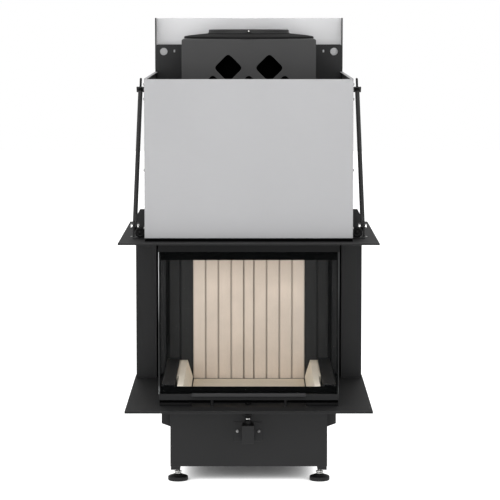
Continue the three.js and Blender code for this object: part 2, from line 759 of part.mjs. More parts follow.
function addStays() {
  const pivot = [STAY_PIVOT.y, STAY_PIVOT.z];
  const boltRadius = 4;
  const base = UPPER_PLATE_TOP + GAP;
  const gusset = extrude(
    outline([[251.6, base], [270.5, base], [270.5, 668], [262, 679.5], [251.6, 679.5]]),
    "XZ", -237, -234,
  );
  const lug = extrude(
    new THREE.Shape()
      .moveTo(pivot[0] - 11, base)
      .lineTo(pivot[0] + 11, base)
      .lineTo(pivot[0] + 11, pivot[1])
      .absarc(pivot[0], pivot[1], 11, 0, Math.PI, false),
    "YZ", 280.3, 284,
  );
  addPair("stay_bracket", join(
    block([251.6, 293], [-256, -205], [base, base + STEEL]),
    gusset,
    bar("Y", [260.5, 621], 6, -243, -236, 6),
    lug,
    bar("X", pivot, boltRadius, 268, 291, 12),
    bar("X", pivot, 7.2, 268, 274.4, 6),
    bar("X", pivot, 7.2, 283.5, 290.4, 6),
  ), BODY_STEEL);

  const tubeTop = 441.6;
  const tube = turned([
    [0, 12], [5.8, 14], [5.8, tubeTop], [3.4, tubeTop], [3.4, tubeTop - 28], [0, tubeTop - 28],
  ], 12);
  const eye = block([-4.4, 0.4], [-8, 8], [-9, 30]);
  const eyeHole = bar("X", [0, 0], boltRadius + 0.4, -20, 20, 12);
  addPair("stay_tube", alongStay(cut(join(tube, eye), eyeHole)), BODY_STEEL);

  const rodEnd = 488.6;
  addPair("stay_rod", alongStay(join(
    bar("Z", [0, 0], 2.9, tubeTop - 25, rodEnd, 12),
    bar("Z", [0, 0], 6, LUG.from - 6.4, LUG.from - 0.4, 6),
    bar("Z", [0, 0], 6, LUG.to + 0.4, LUG.to + 6.4, 6),
  )), ZINC);
}

// ---- Lifting door ------------------------------------------------------------------------

function doorRail(barDepth, z0, z1) {
  const side = DOOR_HALF - 6;
  const rear = DOOR_REAR - GAP;
  return extrude(outline([
    [-DOOR_HALF, DOOR_FRONT], [DOOR_HALF, DOOR_FRONT], [DOOR_HALF, rear], [side, rear],
    [side, DOOR_FRONT + barDepth], [-side, DOOR_FRONT + barDepth], [-side, rear], [-DOOR_HALF, rear],
  ]), "XY", z0, z1);
}

function addDoor() {
  const glassBottom = 230.4;
  const glassTop = 579.3;
  // The lower rail, the rear uprights and their slide blocks are one welded frame.
  const blockZ = [300, 460];
  const uprights = [-1, 1].flatMap((side) => [
    block(span(side, 217, 232), [DOOR_REAR, 168], [DOOR_BOTTOM, DOOR_TOP]),
    block(span(side, 214, 218), [DOOR_REAR - 1, 160], [DOOR_BOTTOM, glassBottom]),
    block(span(side, 221, 229), [167, 186], blockZ),
    block(span(side, 216.2, 233.8), [184, 197.5], blockZ),
  ]);
  const chainBores = [-CHAIN_X, CHAIN_X].map((x) => bar("Z", [x, FRONT_RUN_Y], 3.4, 280, 480, 12));
  add("door_lower_frame", cut(
    join(doorRail(12, DOOR_BOTTOM, glassBottom), ...uprights), ...chainBores,
  ), DOOR_STEEL);
  add("door_top_rail", doorRail(6, glassTop, DOOR_TOP), DOOR_STEEL);

  const pane = 4.5;
  const paneZ = [glassBottom + GAP, glassTop - GAP];
  const paneFront = DOOR_FRONT + GAP;
  const edge = DOOR_HALF - GAP;
  add("door_glass_front", block([-edge, edge], [paneFront, paneFront + pane], paneZ), GLASS);
  addPair("door_glass", block(
    [edge - pane, edge], [paneFront + pane + GAP, DOOR_REAR - GAP], paneZ,
  ), GLASS);

  const strip = outline([
    [-296, 225.4], [-295, 224.4], [DOOR_FRONT - GAP, 224.4],
    [DOOR_FRONT - GAP, 233.4], [-295, 233.4], [-296, 232.4],
  ]);
  add("door_handle", extrude(strip, "YZ", -139, 139), PLATE_STEEL);
}

function addLiftingGear() {
  // Endless chain in the plane x = CHAIN_X: up the front run, over the wheel, down the rear run.
  const steps = 16;
  const path = [];
  for (let i = 0; i <= steps; i++) {
    const angle = Math.PI - (Math.PI * i) / steps;
    path.push({ z: WHEEL_Z, angle });
  }
  for (let i = 0; i <= steps; i++) {
    const angle = -(Math.PI * i) / steps;
    path.push({ z: GUIDE_Z, angle });
  }
  const sides = 6;
  const rings = path.map(({ z, angle }) => Array.from({ length: sides }, (_, i) => {
    const turn = (2 * Math.PI * i) / sides;
    const reach = WHEEL_RADIUS + CHAIN_RADIUS * Math.cos(turn);
    return new THREE.Vector3(
      CHAIN_X + CHAIN_RADIUS * Math.sin(turn),
      WHEEL_Y + reach * Math.cos(angle),
      z + reach * Math.sin(angle),
    );
  }));
  addPair("lift_chain", skin(rings), ZINC);

  const groove = WHEEL_RADIUS - CHAIN_RADIUS - 0.8;
  const flange = WHEEL_RADIUS + 5;
  const bore = 5.4;
  const wheel = turned([
    [bore, -8], [12, -8], [12, -5], [flange, -5], [flange, -3.5], [groove, -2.6],
    [groove, 2.6], [flange, 3.5], [flange, 5], [12, 5], [12, 8], [bore, 8], [bore, -8],
  ], 24).rotateY(Math.PI / 2).translate(CHAIN_X, WHEEL_Y, WHEEL_Z);
  addPair("chain_wheel", wheel, CAST_IRON);

  const weight = cut(
    block([176, 246], [263, 333], [WEIGHT_BOTTOM, WEIGHT_TOP]),
    bar("Z", [CHAIN_X, REAR_RUN_Y], 3.6, WEIGHT_BOTTOM - 5, WEIGHT_TOP + 5, 12),
  );
  addPair("counterweight", weight, CAST_IRON);

  const channel = outline([
    [213, 182], [215, 182], [215, 198.5], [235, 198.5], [235, 182], [237, 182],
    [237, WALL_REAR], [213, WALL_REAR],
  ]);
  addPair("guide_rail", extrude(channel, "XY", GUIDE_Z + 30, 842), BODY_STEEL);
}

addFeet();
addPedestal();
addAirInlet();
addAirControl();
addLowerPlate();
addUpperPlate();
addHearth();
addBackWall();
addFireboxTop();
addDome();
addCasing();
addRearFrame();
addHousing();
addStays();
addDoor();
addLiftingGear();

export default insert;
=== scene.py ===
"""Looks of a fireplace insert whose three-sided glass door lifts into a sheet housing.

Metres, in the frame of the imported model: +X to the right seen from the front, +Y to the rear,
+Z up. Pieces called left are at -X.
"""

import math

import bmesh
import bpy
from bpy.props import FloatProperty, FloatVectorProperty, IntProperty, PointerProperty
from mathutils import Matrix, Vector


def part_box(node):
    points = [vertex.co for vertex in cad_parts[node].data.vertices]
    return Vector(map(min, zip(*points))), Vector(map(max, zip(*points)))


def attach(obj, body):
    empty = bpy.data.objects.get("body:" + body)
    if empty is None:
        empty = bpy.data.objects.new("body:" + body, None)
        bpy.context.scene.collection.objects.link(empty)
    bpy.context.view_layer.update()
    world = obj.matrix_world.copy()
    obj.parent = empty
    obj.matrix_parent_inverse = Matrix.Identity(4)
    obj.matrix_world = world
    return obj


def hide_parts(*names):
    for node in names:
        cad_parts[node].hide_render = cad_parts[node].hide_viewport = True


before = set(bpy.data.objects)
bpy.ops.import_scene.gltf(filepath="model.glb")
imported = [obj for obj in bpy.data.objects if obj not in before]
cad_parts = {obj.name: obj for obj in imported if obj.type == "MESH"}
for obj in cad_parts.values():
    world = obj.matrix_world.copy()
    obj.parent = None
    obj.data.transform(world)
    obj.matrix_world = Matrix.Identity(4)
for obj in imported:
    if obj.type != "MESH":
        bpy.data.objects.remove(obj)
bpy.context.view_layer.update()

bl_info = {
    "name": "Fireplace insert",
    "version": (1, 0, 0),
    "blender": (4, 5, 0),
    "location": "3D View > Sidebar > Hearth",
    "description": "Dresses the fireplace insert's frame with its finishes and fine pieces",
    "category": "Object",
}

SIDES = (("left", -1), ("right", 1))
ENDS = ("front", "rear")


# ---- Sizes and colours that a user would change ------------------------------------------------


def length(name, description, default, low=0.0001, high=10.0):
    return FloatProperty(
        name=name, description=description, default=default, min=low, max=high,
        precision=4, unit="LENGTH",
    )


def colour(name, description, default):
    return FloatVectorProperty(
        name=name, description=description, default=default, min=0.0, max=1.0,
        size=3, subtype="COLOR",
    )


class HearthSizes(bpy.types.PropertyGroup):
    """Sizes of the fine pieces."""

    sheet_edge: length("Sheet edge", "Rounding of sheet and plate edges", 0.0006)
    stone_edge: length("Stone edge", "Rounding of the fireclay edges", 0.0011)
    spindle_radius: length("Spindle radius", "Radius of the levelling spindles", 0.0046)
    thread_pitch: length("Thread pitch", "Rise of the threads per turn", 0.0015)
    link_pitch: length("Link pitch", "Length that each chain link adds", 0.0080)
    link_wire: length("Link wire", "Radius of the chain wire", 0.0007)
    rope_radius: length("Rope radius", "Radius of the sealing rope", 0.0043)
    lower_print: length("Lower print", "Height of the black band at the foot of the panes", 0.0180)
    upper_print: length("Upper print", "Height of the black band at the top of the panes", 0.0200)
    round_steps: IntProperty(
        name="Round steps", description="Corners round a turned piece", default=96,
        min=24, max=256,
    )


class HearthColours(bpy.types.PropertyGroup):
    """Colours of the finishes."""

    body_paint: colour("Body paint", "Matt paint of pedestal and columns", (0.0100, 0.0101, 0.0105))
    plate_paint: colour("Plate paint", "Paint of both frame plates", (0.0080, 0.0081, 0.0084))
    casing_paint: colour("Casing paint", "Paint of the flue casing", (0.0395, 0.0395, 0.0398))
    lid_paint: colour("Lid paint", "Paint of the dome's lid and collar", (0.0125, 0.0125, 0.0127))
    door_paint: colour("Door paint", "Paint of the door rails", (0.0100, 0.0101, 0.0105))
    bare_sheet: colour("Bare sheet", "Pale sheet at the wall", (0.53, 0.53, 0.537))
    housing_sheet: colour("Housing sheet", "Pale sheet of the housing", (0.280, 0.280, 0.2855))
    zinc: colour("Zinc", "Plating of screws and spindles", (0.66, 0.66, 0.65))
    fireclay: colour("Fireclay", "Pressed fireclay of the hearth", (0.815, 0.710, 0.610))
    # Fireclay painted paler than its own colour as painted light, so that the floor slab and side
    # stones, which lie in shade, come out brighter.
    hearth_clay: colour("Hearth clay", "Floor slab and side stones", (0.92, 0.845, 0.714))
    lining: colour("Lining", "Dark cast linings", (0.0176, 0.0180, 0.0182))
    glass: colour("Glass", "Tint of the panes", (0.02, 0.024, 0.024))


class HearthStage(bpy.types.PropertyGroup):
    """Camera, floor and light."""

    camera_distance: length("Camera distance", "From the camera to the middle of the insert", 6.084)
    camera_height: length("Camera height", "Above the floor", 1.1587)
    camera_side: length("Camera side step", "To the right of the middle plane", 0.003, -1.0)
    camera_tilt: FloatProperty(
        name="Camera tilt", description="Angle that the camera looks down",
        default=math.radians(5.66), min=0.0, max=1.5, subtype="ANGLE",
    )
    focal_pixels: FloatProperty(
        name="Focal length", description="In pixels of a frame 500 pixels wide",
        default=2400.0, min=100.0, max=20000.0,
    )
    sky: FloatProperty(
        name="Sky", description="Brightness of the room's soft light", default=0.80,
        min=0.0, max=10.0,
    )


def sizes():
    return bpy.context.scene.hearth_sizes


def colours():
    return bpy.context.scene.hearth_colours


def stage_values():
    return bpy.context.scene.hearth_stage


# ---- Shared effects, as shader node groups -----------------------------------------------------


def new_group(name, inputs, outputs):
    group = bpy.data.node_groups.new(name, "ShaderNodeTree")
    for label, default in inputs:
        socket = group.interface.new_socket(label, in_out="INPUT", socket_type="NodeSocketFloat")
        socket.default_value = default
    for label in outputs:
        group.interface.new_socket(label, in_out="OUTPUT", socket_type="NodeSocketFloat")
    return group, group.nodes.new("NodeGroupInput"), group.nodes.new("NodeGroupOutput")


def math_node(tree, operation, first, second=None, clamp=False):
    node = tree.nodes.new("ShaderNodeMath")
    node.operation = operation
    node.use_clamp = clamp
    for socket, value in zip(node.inputs, (first, second)):
        if value is None:
            continue
        if isinstance(value, (int, float)):
            socket.default_value = value
        else:
            tree.links.new(value, socket)
    return node.outputs[0]


def noise_node(tree, vector, scale, detail, roughness=0.55):
    node = tree.nodes.new("ShaderNodeTexNoise")
    node.inputs["Detail"].default_value = detail
    node.inputs["Roughness"].default_value = roughness
    tree.links.new(vector, node.inputs["Vector"])
    if isinstance(scale, (int, float)):
        node.inputs["Scale"].default_value = scale
    else:
        tree.links.new(scale, node.inputs["Scale"])
    return node.outputs["Fac"]


def object_place(tree, stretch=(1.0, 1.0, 1.0)):
    place = tree.nodes.new("ShaderNodeTexCoord").outputs["Object"]
    if stretch == (1.0, 1.0, 1.0):
        return place
    mapping = tree.nodes.new("ShaderNodeMapping")
    mapping.inputs["Scale"].default_value = stretch
    tree.links.new(place, mapping.inputs["Vector"])
    return mapping.outputs["Vector"]


def build_grain():
    """Fine surface grain with slow clouding: paint texture, cast skin or pressed clay."""
    group, given, result = new_group(
        "Surface grain", [("Scale", 900.0), ("Cloud scale", 6.0)], ["Fine", "Cloud"],
    )
    place = object_place(group)
    fine = noise_node(group, place, given.outputs["Scale"], 4.0, 0.6)
    cloud = noise_node(group, place, given.outputs["Cloud scale"], 3.0, 0.5)
    group.links.new(fine, result.inputs["Fine"])
    group.links.new(cloud, result.inputs["Cloud"])
    return group


def build_edge_wear():
    """Where an outside or inside edge has rubbed bare: 0 on the flat, up to 1 on an edge."""
    group, given, result = new_group(
        "Edge wear", [("Amount", 0.6), ("Patchiness", 40.0)], ["Mask"],
    )
    rounded = group.nodes.new("ShaderNodeBevel")
    rounded.samples = 4
    rounded.inputs["Radius"].default_value = 0.0012
    flat = group.nodes.new("ShaderNodeNewGeometry").outputs["Normal"]
    match = group.nodes.new("ShaderNodeVectorMath")
    match.operation = "DOT_PRODUCT"
    group.links.new(rounded.outputs["Normal"], match.inputs[0])
    group.links.new(flat, match.inputs[1])
    bend = math_node(group, "SUBTRACT", 1.0, match.outputs["Value"], clamp=True)
    strong = math_node(group, "MULTIPLY", bend, 5.0, clamp=True)
    patches = noise_node(group, object_place(group), given.outputs["Patchiness"], 2.0)
    broken = math_node(group, "MULTIPLY", strong, patches)
    mask = math_node(group, "MULTIPLY", broken, given.outputs["Amount"], clamp=True)
    group.links.new(mask, result.inputs["Mask"])
    return group


def build_rolled_sheet():
    """Rolling lines and faint spangle of bare sheet."""
    group, given, result = new_group(
        "Rolled sheet", [("Line scale", 30.0), ("Spangle scale", 45.0)], ["Lines", "Spangle"],
    )
    lines = noise_node(
        group, object_place(group, (1.0, 1.0, 14.0)), given.outputs["Line scale"], 5.0, 0.65,
    )
    spangle = noise_node(group, object_place(group), given.outputs["Spangle scale"], 2.0)
    group.links.new(lines, result.inputs["Lines"])
    group.links.new(spangle, result.inputs["Spangle"])
    return group


def build_dust():
    """Fine dust that settles on faces that look up."""
    group, given, result = new_group(
        "Settled dust", [("Amount", 0.2), ("Scale", 60.0)], ["Mask"],
    )
    normal = group.nodes.new("ShaderNodeNewGeometry").outputs["Normal"]
    split = group.nodes.new("ShaderNodeSeparateXYZ")
    group.links.new(normal, split.inputs[0])
    up = math_node(group, "MAXIMUM", split.outputs["Z"], 0.0)
    speckle = noise_node(group, object_place(group), given.outputs["Scale"], 6.0, 0.7)
    laid = math_node(group, "MULTIPLY", up, speckle)
    mask = math_node(group, "MULTIPLY", laid, given.outputs["Amount"], clamp=True)
    group.links.new(mask, result.inputs["Mask"])
    return group


EFFECTS = {
    "Surface grain": build_grain,
    "Edge wear": build_edge_wear,
    "Rolled sheet": build_rolled_sheet,
    "Settled dust": build_dust,
}


def effect(tree, name, **values):
    """Places a shared effect in a material, with its own values."""
    node = tree.nodes.new("ShaderNodeGroup")
    node.node_tree = bpy.data.node_groups.get(name) or EFFECTS[name]()
    for label, value in values.items():
        node.inputs[label.replace("_", " ").capitalize()].default_value = value
    return node.outputs


def blend_colour(tree, share, first, second):
    node = tree.nodes.new("ShaderNodeMix")
    node.data_type = "RGBA"
    tree.links.new(share, node.inputs[0])
    for socket, value in ((node.inputs[6], first), (node.inputs[7], second)):
        if isinstance(value, bpy.types.NodeSocket):
            tree.links.new(value, socket)
        else:
            socket.default_value = (*value, 1.0)
    return node.outputs[2]


def map_range(tree, value, side, low, high):
    node = tree.nodes.new("ShaderNodeMapRange")
    node.inputs[f"{side} Min"].default_value = low
    node.inputs[f"{side} Max"].default_value = high
    tree.links.new(value, node.inputs["Value"])
    return node.outputs["Result"]


def spread(tree, value, low, high):
    """Maps 0 to 1 onto low to high."""
    return map_range(tree, value, "To", low, high)


def sharpen(tree, value, low, high):
    """Maps low to high onto 0 to 1."""
    return map_range(tree, value, "From", low, high)


def object_axis(tree, axis):
    """How far a point lies along X, Y or Z of its object."""
    split = tree.nodes.new("ShaderNodeSeparateXYZ")
    tree.links.new(object_place(tree), split.inputs[0])
    return split.outputs[axis]


def shade(value, factor):
    return tuple(min(1.0, channel * factor) for channel in value)


def grey(level):
    return (level, level, level)


# ---- Materials ---------------------------------------------------------------------------------

# Places in the frame that a material needs, in metres
LUG_START = 0.2514  # the housing's door lugs lie further than this from the middle plane
GROOVE_PITCH = 0.0333  # between the upright grooves of the back wall
FIRST_GROOVE = 0.0132  # from the middle plane to the first of them


def start_material(name, grain_scale, cloud_scale):
    """A new material, its node tree and its surface grain."""
    material = bpy.data.materials.new(name)
    material.use_nodes = True
    tree = material.node_tree
    return material, tree, effect(
        tree, "Surface grain", Scale=grain_scale, Cloud_scale=cloud_scale,
    )


def shader_inputs(material):
    return material.node_tree.nodes["Principled BSDF"].inputs


def coat(material, colour, rough, gloss=None, bump=None, metallic=0.0):
    """Feeds colour, roughness (value, low, high) and bump (height, depth, strength)."""
    tree, inputs = material.node_tree, shader_inputs(material)
    tree.links.new(colour, inputs["Base Color"])
    tree.links.new(spread(tree, *rough), inputs["Roughness"])
    inputs["Metallic"].default_value = metallic
    if gloss is not None:
        inputs["Specular IOR Level"].default_value = gloss
    if bump:
        height, depth, strength = bump
        node = tree.nodes.new("ShaderNodeBump")
        node.inputs["Strength"].default_value = strength
        node.inputs["Distance"].default_value = depth
        tree.links.new(height, node.inputs["Height"])
        tree.links.new(node.outputs["Normal"], inputs["Normal"])
    return material


def clouded(tree, grain, paint, dark, light):
    """The paint, clouding slowly between a darker and a lighter shade."""
    cloud = sharpen(tree, grain["Cloud"], 0.3, 0.7)
    return blend_colour(tree, cloud, shade(paint, dark), shade(paint, light))


def edge_wear(tree, amount, patchiness):
    return effect(tree, "Edge wear", Amount=amount, Patchiness=patchiness)["Mask"]


def painted(name, paint, rough, gloss, wear, dust=0.12, worn=(0.16, 0.16, 0.165)):
    """Matt heat-resistant paint with fine grain, slow clouding, rubbed edges and a little dust."""
    material, tree, grain = start_material(name, 1400.0, 5.0)
    fine = grain["Fine"]
    tone = clouded(tree, grain, paint, 0.88, 1.13)
    speckled = blend_colour(tree, spread(tree, fine, 0.0, 0.3), tone, shade(paint, 1.5))
    rubbed = blend_colour(tree, edge_wear(tree, wear, 35.0), speckled, worn)
    dusty = effect(tree, "Settled dust", Amount=dust, Scale=55.0)["Mask"]
    return coat(material, blend_colour(tree, dusty, rubbed, (0.16, 0.155, 0.15)),
                (fine, rough - 0.06, rough + 0.12), gloss, (fine, 0.00006, 0.5))


def bare_sheet(name, paint, lug_paint=None):
    """Pale bare sheet with rolling lines and faint spangle; its outside lugs can be painted."""
    material, tree, grain = start_material(name, 1100.0, 3.2)
    sheet = effect(tree, "Rolled sheet", Line_scale=28.0, Spangle_scale=38.0)
    lines = sheet["Lines"]
    cloud = clouded(tree, grain, paint, 0.965, 1.03)
    lined = blend_colour(tree, spread(tree, lines, 0.0, 0.25), cloud, shade(paint, 0.93))
    flecks = spread(tree, sheet["Spangle"], 0.0, 0.2)
    flecked = blend_colour(tree, flecks, lined, shade(paint, 1.06))
    worn = blend_colour(tree, edge_wear(tree, 0.35, 60.0), flecked, shade(paint, 1.12))
    if lug_paint is not None:
        outward = math_node(tree, "ABSOLUTE", object_axis(tree, "X"))
        lug = math_node(tree, "GREATER_THAN", outward, LUG_START)
        worn = blend_colour(tree, lug, worn, lug_paint)
    return coat(material, worn, (lines, 0.37, 0.51), bump=(lines, 0.00004, 0.35), metallic=0.35)


def plated(name, paint, rough=0.28, tarnish=(0.30, 0.29, 0.26)):
    """Zinc or polished metal with faint tarnish."""
    material, tree, grain = start_material(name, 700.0, 70.0)
    cloud = sharpen(tree, grain["Cloud"], 0.45, 0.75)
    return coat(material, blend_colour(tree, cloud, paint, tarnish),
                (grain["Cloud"], rough - 0.08, rough + 0.14),
                bump=(grain["Fine"], 0.00003, 0.3), metallic=0.92)


def painted_groove_shade(tree):
    """Painted shade in the grooves: 1 along the upright grooves of the back wall, 0 between them.
    """
    half = GROOVE_PITCH / 2
    aside = math_node(tree, "ABSOLUTE", object_axis(tree, "X"))
    shifted = math_node(tree, "ADD", aside, half - FIRST_GROOVE)
    phase = math_node(tree, "MODULO", shifted, GROOVE_PITCH)
    off_centre = math_node(tree, "ABSOLUTE", math_node(tree, "SUBTRACT", phase, half))
    return sharpen(tree, off_centre, 0.0040, 0.0014)


def pressed_clay(name, paint, cloud_scale=9.0, grooved=False):
    """Pale matt fireclay with grit, clouds and drag lines; on grooved stones, painted shade darkens
    the top and the grooves.
    """
    material, tree, grain = start_material(name, 520.0, cloud_scale)
    fine = grain["Fine"]
    drag = noise_node(tree, object_place(tree, (1.0, 1.0, 0.06)), 160.0, 3.0)
    cloud = clouded(tree, grain, paint, 0.90, 1.08)
    grit = blend_colour(tree, sharpen(tree, fine, 0.58, 0.78), cloud, shade(paint, 0.62))
    clay = blend_colour(tree, spread(tree, drag, 0.0, 0.45), grit, shade(paint, 0.84))
    if grooved:
        # Painted shade: darker towards the top of the back wall, which the door's top rail shades,
        # and along the grooves.
        painted_top_shade = sharpen(tree, object_axis(tree, "Z"), 0.44, 0.60)
        for mask, amount, tone in ((painted_top_shade, 0.95, 0.52), (painted_groove_shade(tree), 0.62, 0.42)):
            share = math_node(tree, "MULTIPLY", mask, amount)
            clay = blend_colour(tree, share, clay, shade(paint, tone))
    rubbed = blend_colour(tree, edge_wear(tree, 0.5, 90.0), clay, shade(paint, 1.22))
    return coat(material, rubbed, (fine, 0.82, 0.97), 0.25, (fine, 0.00022, 0.55))


def cast_skin(name, paint, rough=0.62):
    """Sand-cast iron with a pebbled skin."""
    material, tree, grain = start_material(name, 620.0, 12.0)
    fine = grain["Fine"]
    cloud = blend_colour(tree, grain["Cloud"], shade(paint, 0.8), shade(paint, 1.25))
    rubbed = blend_colour(tree, edge_wear(tree, 0.45, 45.0), cloud, grey(0.13))
    return coat(material, rubbed, (fine, rough - 0.08, rough + 0.16), 0.3, (fine, 0.00030, 0.6))


def drum_black(name):
    """Sooty black insulation behind the openings of the casing."""
    material, tree, grain = start_material(name, 500.0, 20.0)
    fine = grain["Fine"]
    soot = blend_colour(tree, fine, grey(0.0002), grey(0.0010))
    return coat(material, soot, (fine, 0.9, 1.0), 0.0, (fine, 0.0004, 0.6))


def pane(name, tint):
    """A clear pane with a faint reflection."""
    material, tree, grain = start_material(name, 40.0, 7.0)
    inputs = shader_inputs(material)
    inputs["Base Color"].default_value = (*tint, 1.0)
    tree.links.new(spread(tree, grain["Cloud"], 0.015, 0.05), inputs["Roughness"])
    inputs["Specular IOR Level"].default_value = 0.02
    inputs["Alpha"].default_value = 0.03
    material.surface_render_method = "BLENDED"
    return material


def fired_print(name):
    """Opaque black print fired onto the glass."""
    material, tree, grain = start_material(name, 900.0, 14.0)
    black = blend_colour(tree, grain["Cloud"], (0.0008, 0.0008, 0.0009), (0.0018, 0.0018, 0.0019))
    return coat(material, black, (grain["Fine"], 0.55, 0.70), 0.01)


def ground_edge(name, painted_highlight_strength):
    """Ground edge of a pane with a painted highlight: bright at the top and fainter near the foot,
    up to the given strength.
    """
    material, tree, grain = start_material(name, 800.0, 30.0)
    height = object_axis(tree, "Z")
    top = sharpen(tree, height, 0.40, 0.52)
    foot = sharpen(tree, height, 0.252, 0.246)
    painted_highlight_mask = math_node(tree, "MAXIMUM", top, math_node(tree, "MULTIPLY", foot, 0.45))
    painted_highlight_share = spread(tree, painted_highlight_mask, 0.07 * painted_highlight_strength, painted_highlight_strength)
    lit = blend_colour(tree, painted_highlight_share, (0.01, 0.011, 0.011), (0.90, 0.93, 0.93))
    return coat(material, lit, (grain["Fine"], 0.30, 0.45), 0.2)


def braided_rope(name):
    """Dark knitted glass-fibre rope."""
    material, tree, grain = start_material(name, 1500.0, 20.0)
    wave = tree.nodes.new("ShaderNodeTexWave")
    wave.inputs["Scale"].default_value = 160.0
    wave.inputs["Distortion"].default_value = 1.5
    tree.links.new(object_place(tree), wave.inputs["Vector"])
    knit = wave.outputs["Fac"]
    tone = blend_colour(tree, knit, (0.022, 0.022, 0.021), (0.055, 0.054, 0.051))
    return coat(material, tone, (grain["Fine"], 0.85, 1.0), bump=(knit, 0.0006, 0.8))


# A finish's maker and the maker's values. A text names a colour that the user can change, and a
# text with a number is a shade of it.
FINISHES = {
    "body paint": (painted, "body_paint", 0.58, 0.26, 0.35),
    "plate paint": (painted, "plate_paint", 0.58, 0.17, 0.75, 0.04, (0.13, 0.13, 0.132)),
    "casing paint": (painted, "casing_paint", 0.55, 0.3, 0.35, 0.08, grey(0.2)),
    "lid paint": (painted, ("lid_paint", 0.55), 0.75, 0.08, 0.4, 0.02),
    "collar paint": (painted, "lid_paint", 0.55, 0.3, 0.4, 0.04),
    "door paint": (painted, "door_paint", 0.50, 0.20, 0.05, 0.02),
    "door top paint": (painted, ("door_paint", 0.52), 0.55, 0.12, 0.05, 0.02),
    "handle paint": (painted, ("body_paint", 1.9), 0.46, 0.28, 0.4, 0.03),
    "rear plate paint": (painted, ("body_paint", 1.3), 0.6, 0.3, 0.3),
    "drum insulation": (drum_black,),
    "black oxide": (painted, (0.0035, 0.0035, 0.0037), 0.45, 0.14, 0.3, 0.0, grey(0.04)),
    "foot rubber": (painted, (0.0052, 0.0052, 0.0055), 0.50, 0.26, 0.10, 0.0),
    "bare sheet": (bare_sheet, "bare_sheet"),
    "housing sheet": (bare_sheet, "housing_sheet", "door_paint"),
    "zinc": (plated, "zinc"),
    "dull zinc": (plated, ("zinc", 0.5), 0.5, grey(0.10)),
    "fireclay": (pressed_clay, "fireclay", 9.0, True),
    # The hearth's floor slab and side stones: fireclay painted paler as painted light.
    "hearth fireclay": (pressed_clay, "hearth_clay", 7.0),
    "mineral board": (pressed_clay, ("fireclay", 0.85), 14.0),
    "lining": (cast_skin, "lining"),
    "cast iron": (cast_skin, (0.028, 0.028, 0.029), 0.6),
    "pane": (pane, "glass"),
    "grey print": (cast_skin, "lining"),
    "fired print": (fired_print,),
    # The ground edges carry a painted highlight, strong on the left pane and faint on the right
    # one.
    "ground edge lit": (ground_edge, 0.55),
    "ground edge dull": (ground_edge, 0.10),
    "sealing rope": (braided_rope,),
}


def resolved(value):
    """A value of the table above, with the name of a colour replaced by the colour."""
    if isinstance(value, str):
        return tuple(getattr(colours(), value))
    if isinstance(value, tuple) and isinstance(value[0], str):
        return shade(getattr(colours(), value[0]), value[1])
    return value


def finish(name):
    """The material of that finish, made the first time it is asked for."""
    title = name.capitalize()
    maker, *values = FINISHES[name]
    return bpy.data.materials.get(title) or maker(title, *map(resolved, values))


# ---- Mesh helpers ------------------------------------------------------------------------------


def ring_points(radius, height, steps, place=(0.0, 0.0)):
    return [
        Vector((
            place[0] + radius * math.cos(2 * math.pi * i / steps),
            place[1] + radius * math.sin(2 * math.pi * i / steps),
            height,
        ))
        for i in range(steps)
    ]


def loft(bm, rings, closed=False, cap=True):
    """Skins a list of point rings; closed joins the last to the first, cap closes both ends."""
    rows = [[bm.verts.new(point) for point in ring] for ring in rings]
    pairs = list(zip(rows, rows[1:])) + ([(rows[-1], rows[0])] if closed else [])
    for low, high in pairs:
        for i in range(len(low)):
            j = (i + 1) % len(low)
            bm.faces.new((low[i], low[j], high[j], high[i]))
    if cap and not closed:
        bm.faces.new(list(reversed(rows[0])))
        bm.faces.new(rows[-1])
    return rows


def lathe(bm, profile, steps, place=(0.0, 0.0)):
    """Turns a closed [radius, height] profile that keeps off the axis."""
    loft(bm, [ring_points(r, z, steps, place) for r, z in profile], closed=True)


def lathe_solid(bm, profile, steps, place=(0.0, 0.0)):
    """Turns an open profile from bottom to top and closes its flat ends."""
    loft(bm, [ring_points(r, z, steps, place) for r, z in profile])


def threaded_bar(bm, radius, bottom, top, pitch, place=(0.0, 0.0), steps=18):
    """A bar with a helical thread, chamfered at both ends."""
    depth = 0.55 * pitch
    rows = max(6, int((top - bottom) / pitch * 4))
    rings = []
    for row in range(rows + 1):
        height = bottom + (top - bottom) * row / rows
        ring = []
        for i in range(steps):
            phase = (height / pitch - i / steps) % 1.0
            crest = radius - depth * abs(2 * phase - 1)
            end = min(height - bottom, top - height)
            crest = min(crest, radius - depth + end)
            angle = 2 * math.pi * i / steps
            ring.append(Vector((
                place[0] + crest * math.cos(angle), place[1] + crest * math.sin(angle), height,
            )))
        rings.append(ring)
    loft(bm, rings)


def hexagon(bm, radius, bottom, top, place=(0.0, 0.0), turn=0.0):
    """A hexagonal nut or head with chamfered corners, 48 points round."""
    def ring(height, inset):
        points = []
        for i in range(48):
            angle = 2 * math.pi * i / 48
            local = (angle + math.pi / 6) % (math.pi / 3) - math.pi / 6
            flat = radius * math.cos(math.pi / 6) / math.cos(local)
            reach = min(flat, radius - inset)
            points.append(Vector((
                place[0] + reach * math.cos(angle + turn),
                place[1] + reach * math.sin(angle + turn),
                height,
            )))
        return points

    bevel = 0.13 * radius
    rim = 0.22 * (top - bottom)
    loft(bm, [ring(bottom, bevel), ring(bottom + rim, 0.0), ring(top - rim, 0.0), ring(top, bevel)])


def pan_head(bm, radius, bottom, top, place=(0.0, 0.0), steps=32):
    """A low domed screw head with a socket."""
    rise = top - bottom
    outline = ((1.0, 0.0), (1.0, 0.35), (0.93, 0.68), (0.74, 0.92), (0.55, 1.0), (0.42, 1.0),
               (0.38, 0.45))
    lathe_solid(bm, [(out * radius, bottom + up * rise) for out, up in outline], steps, place)


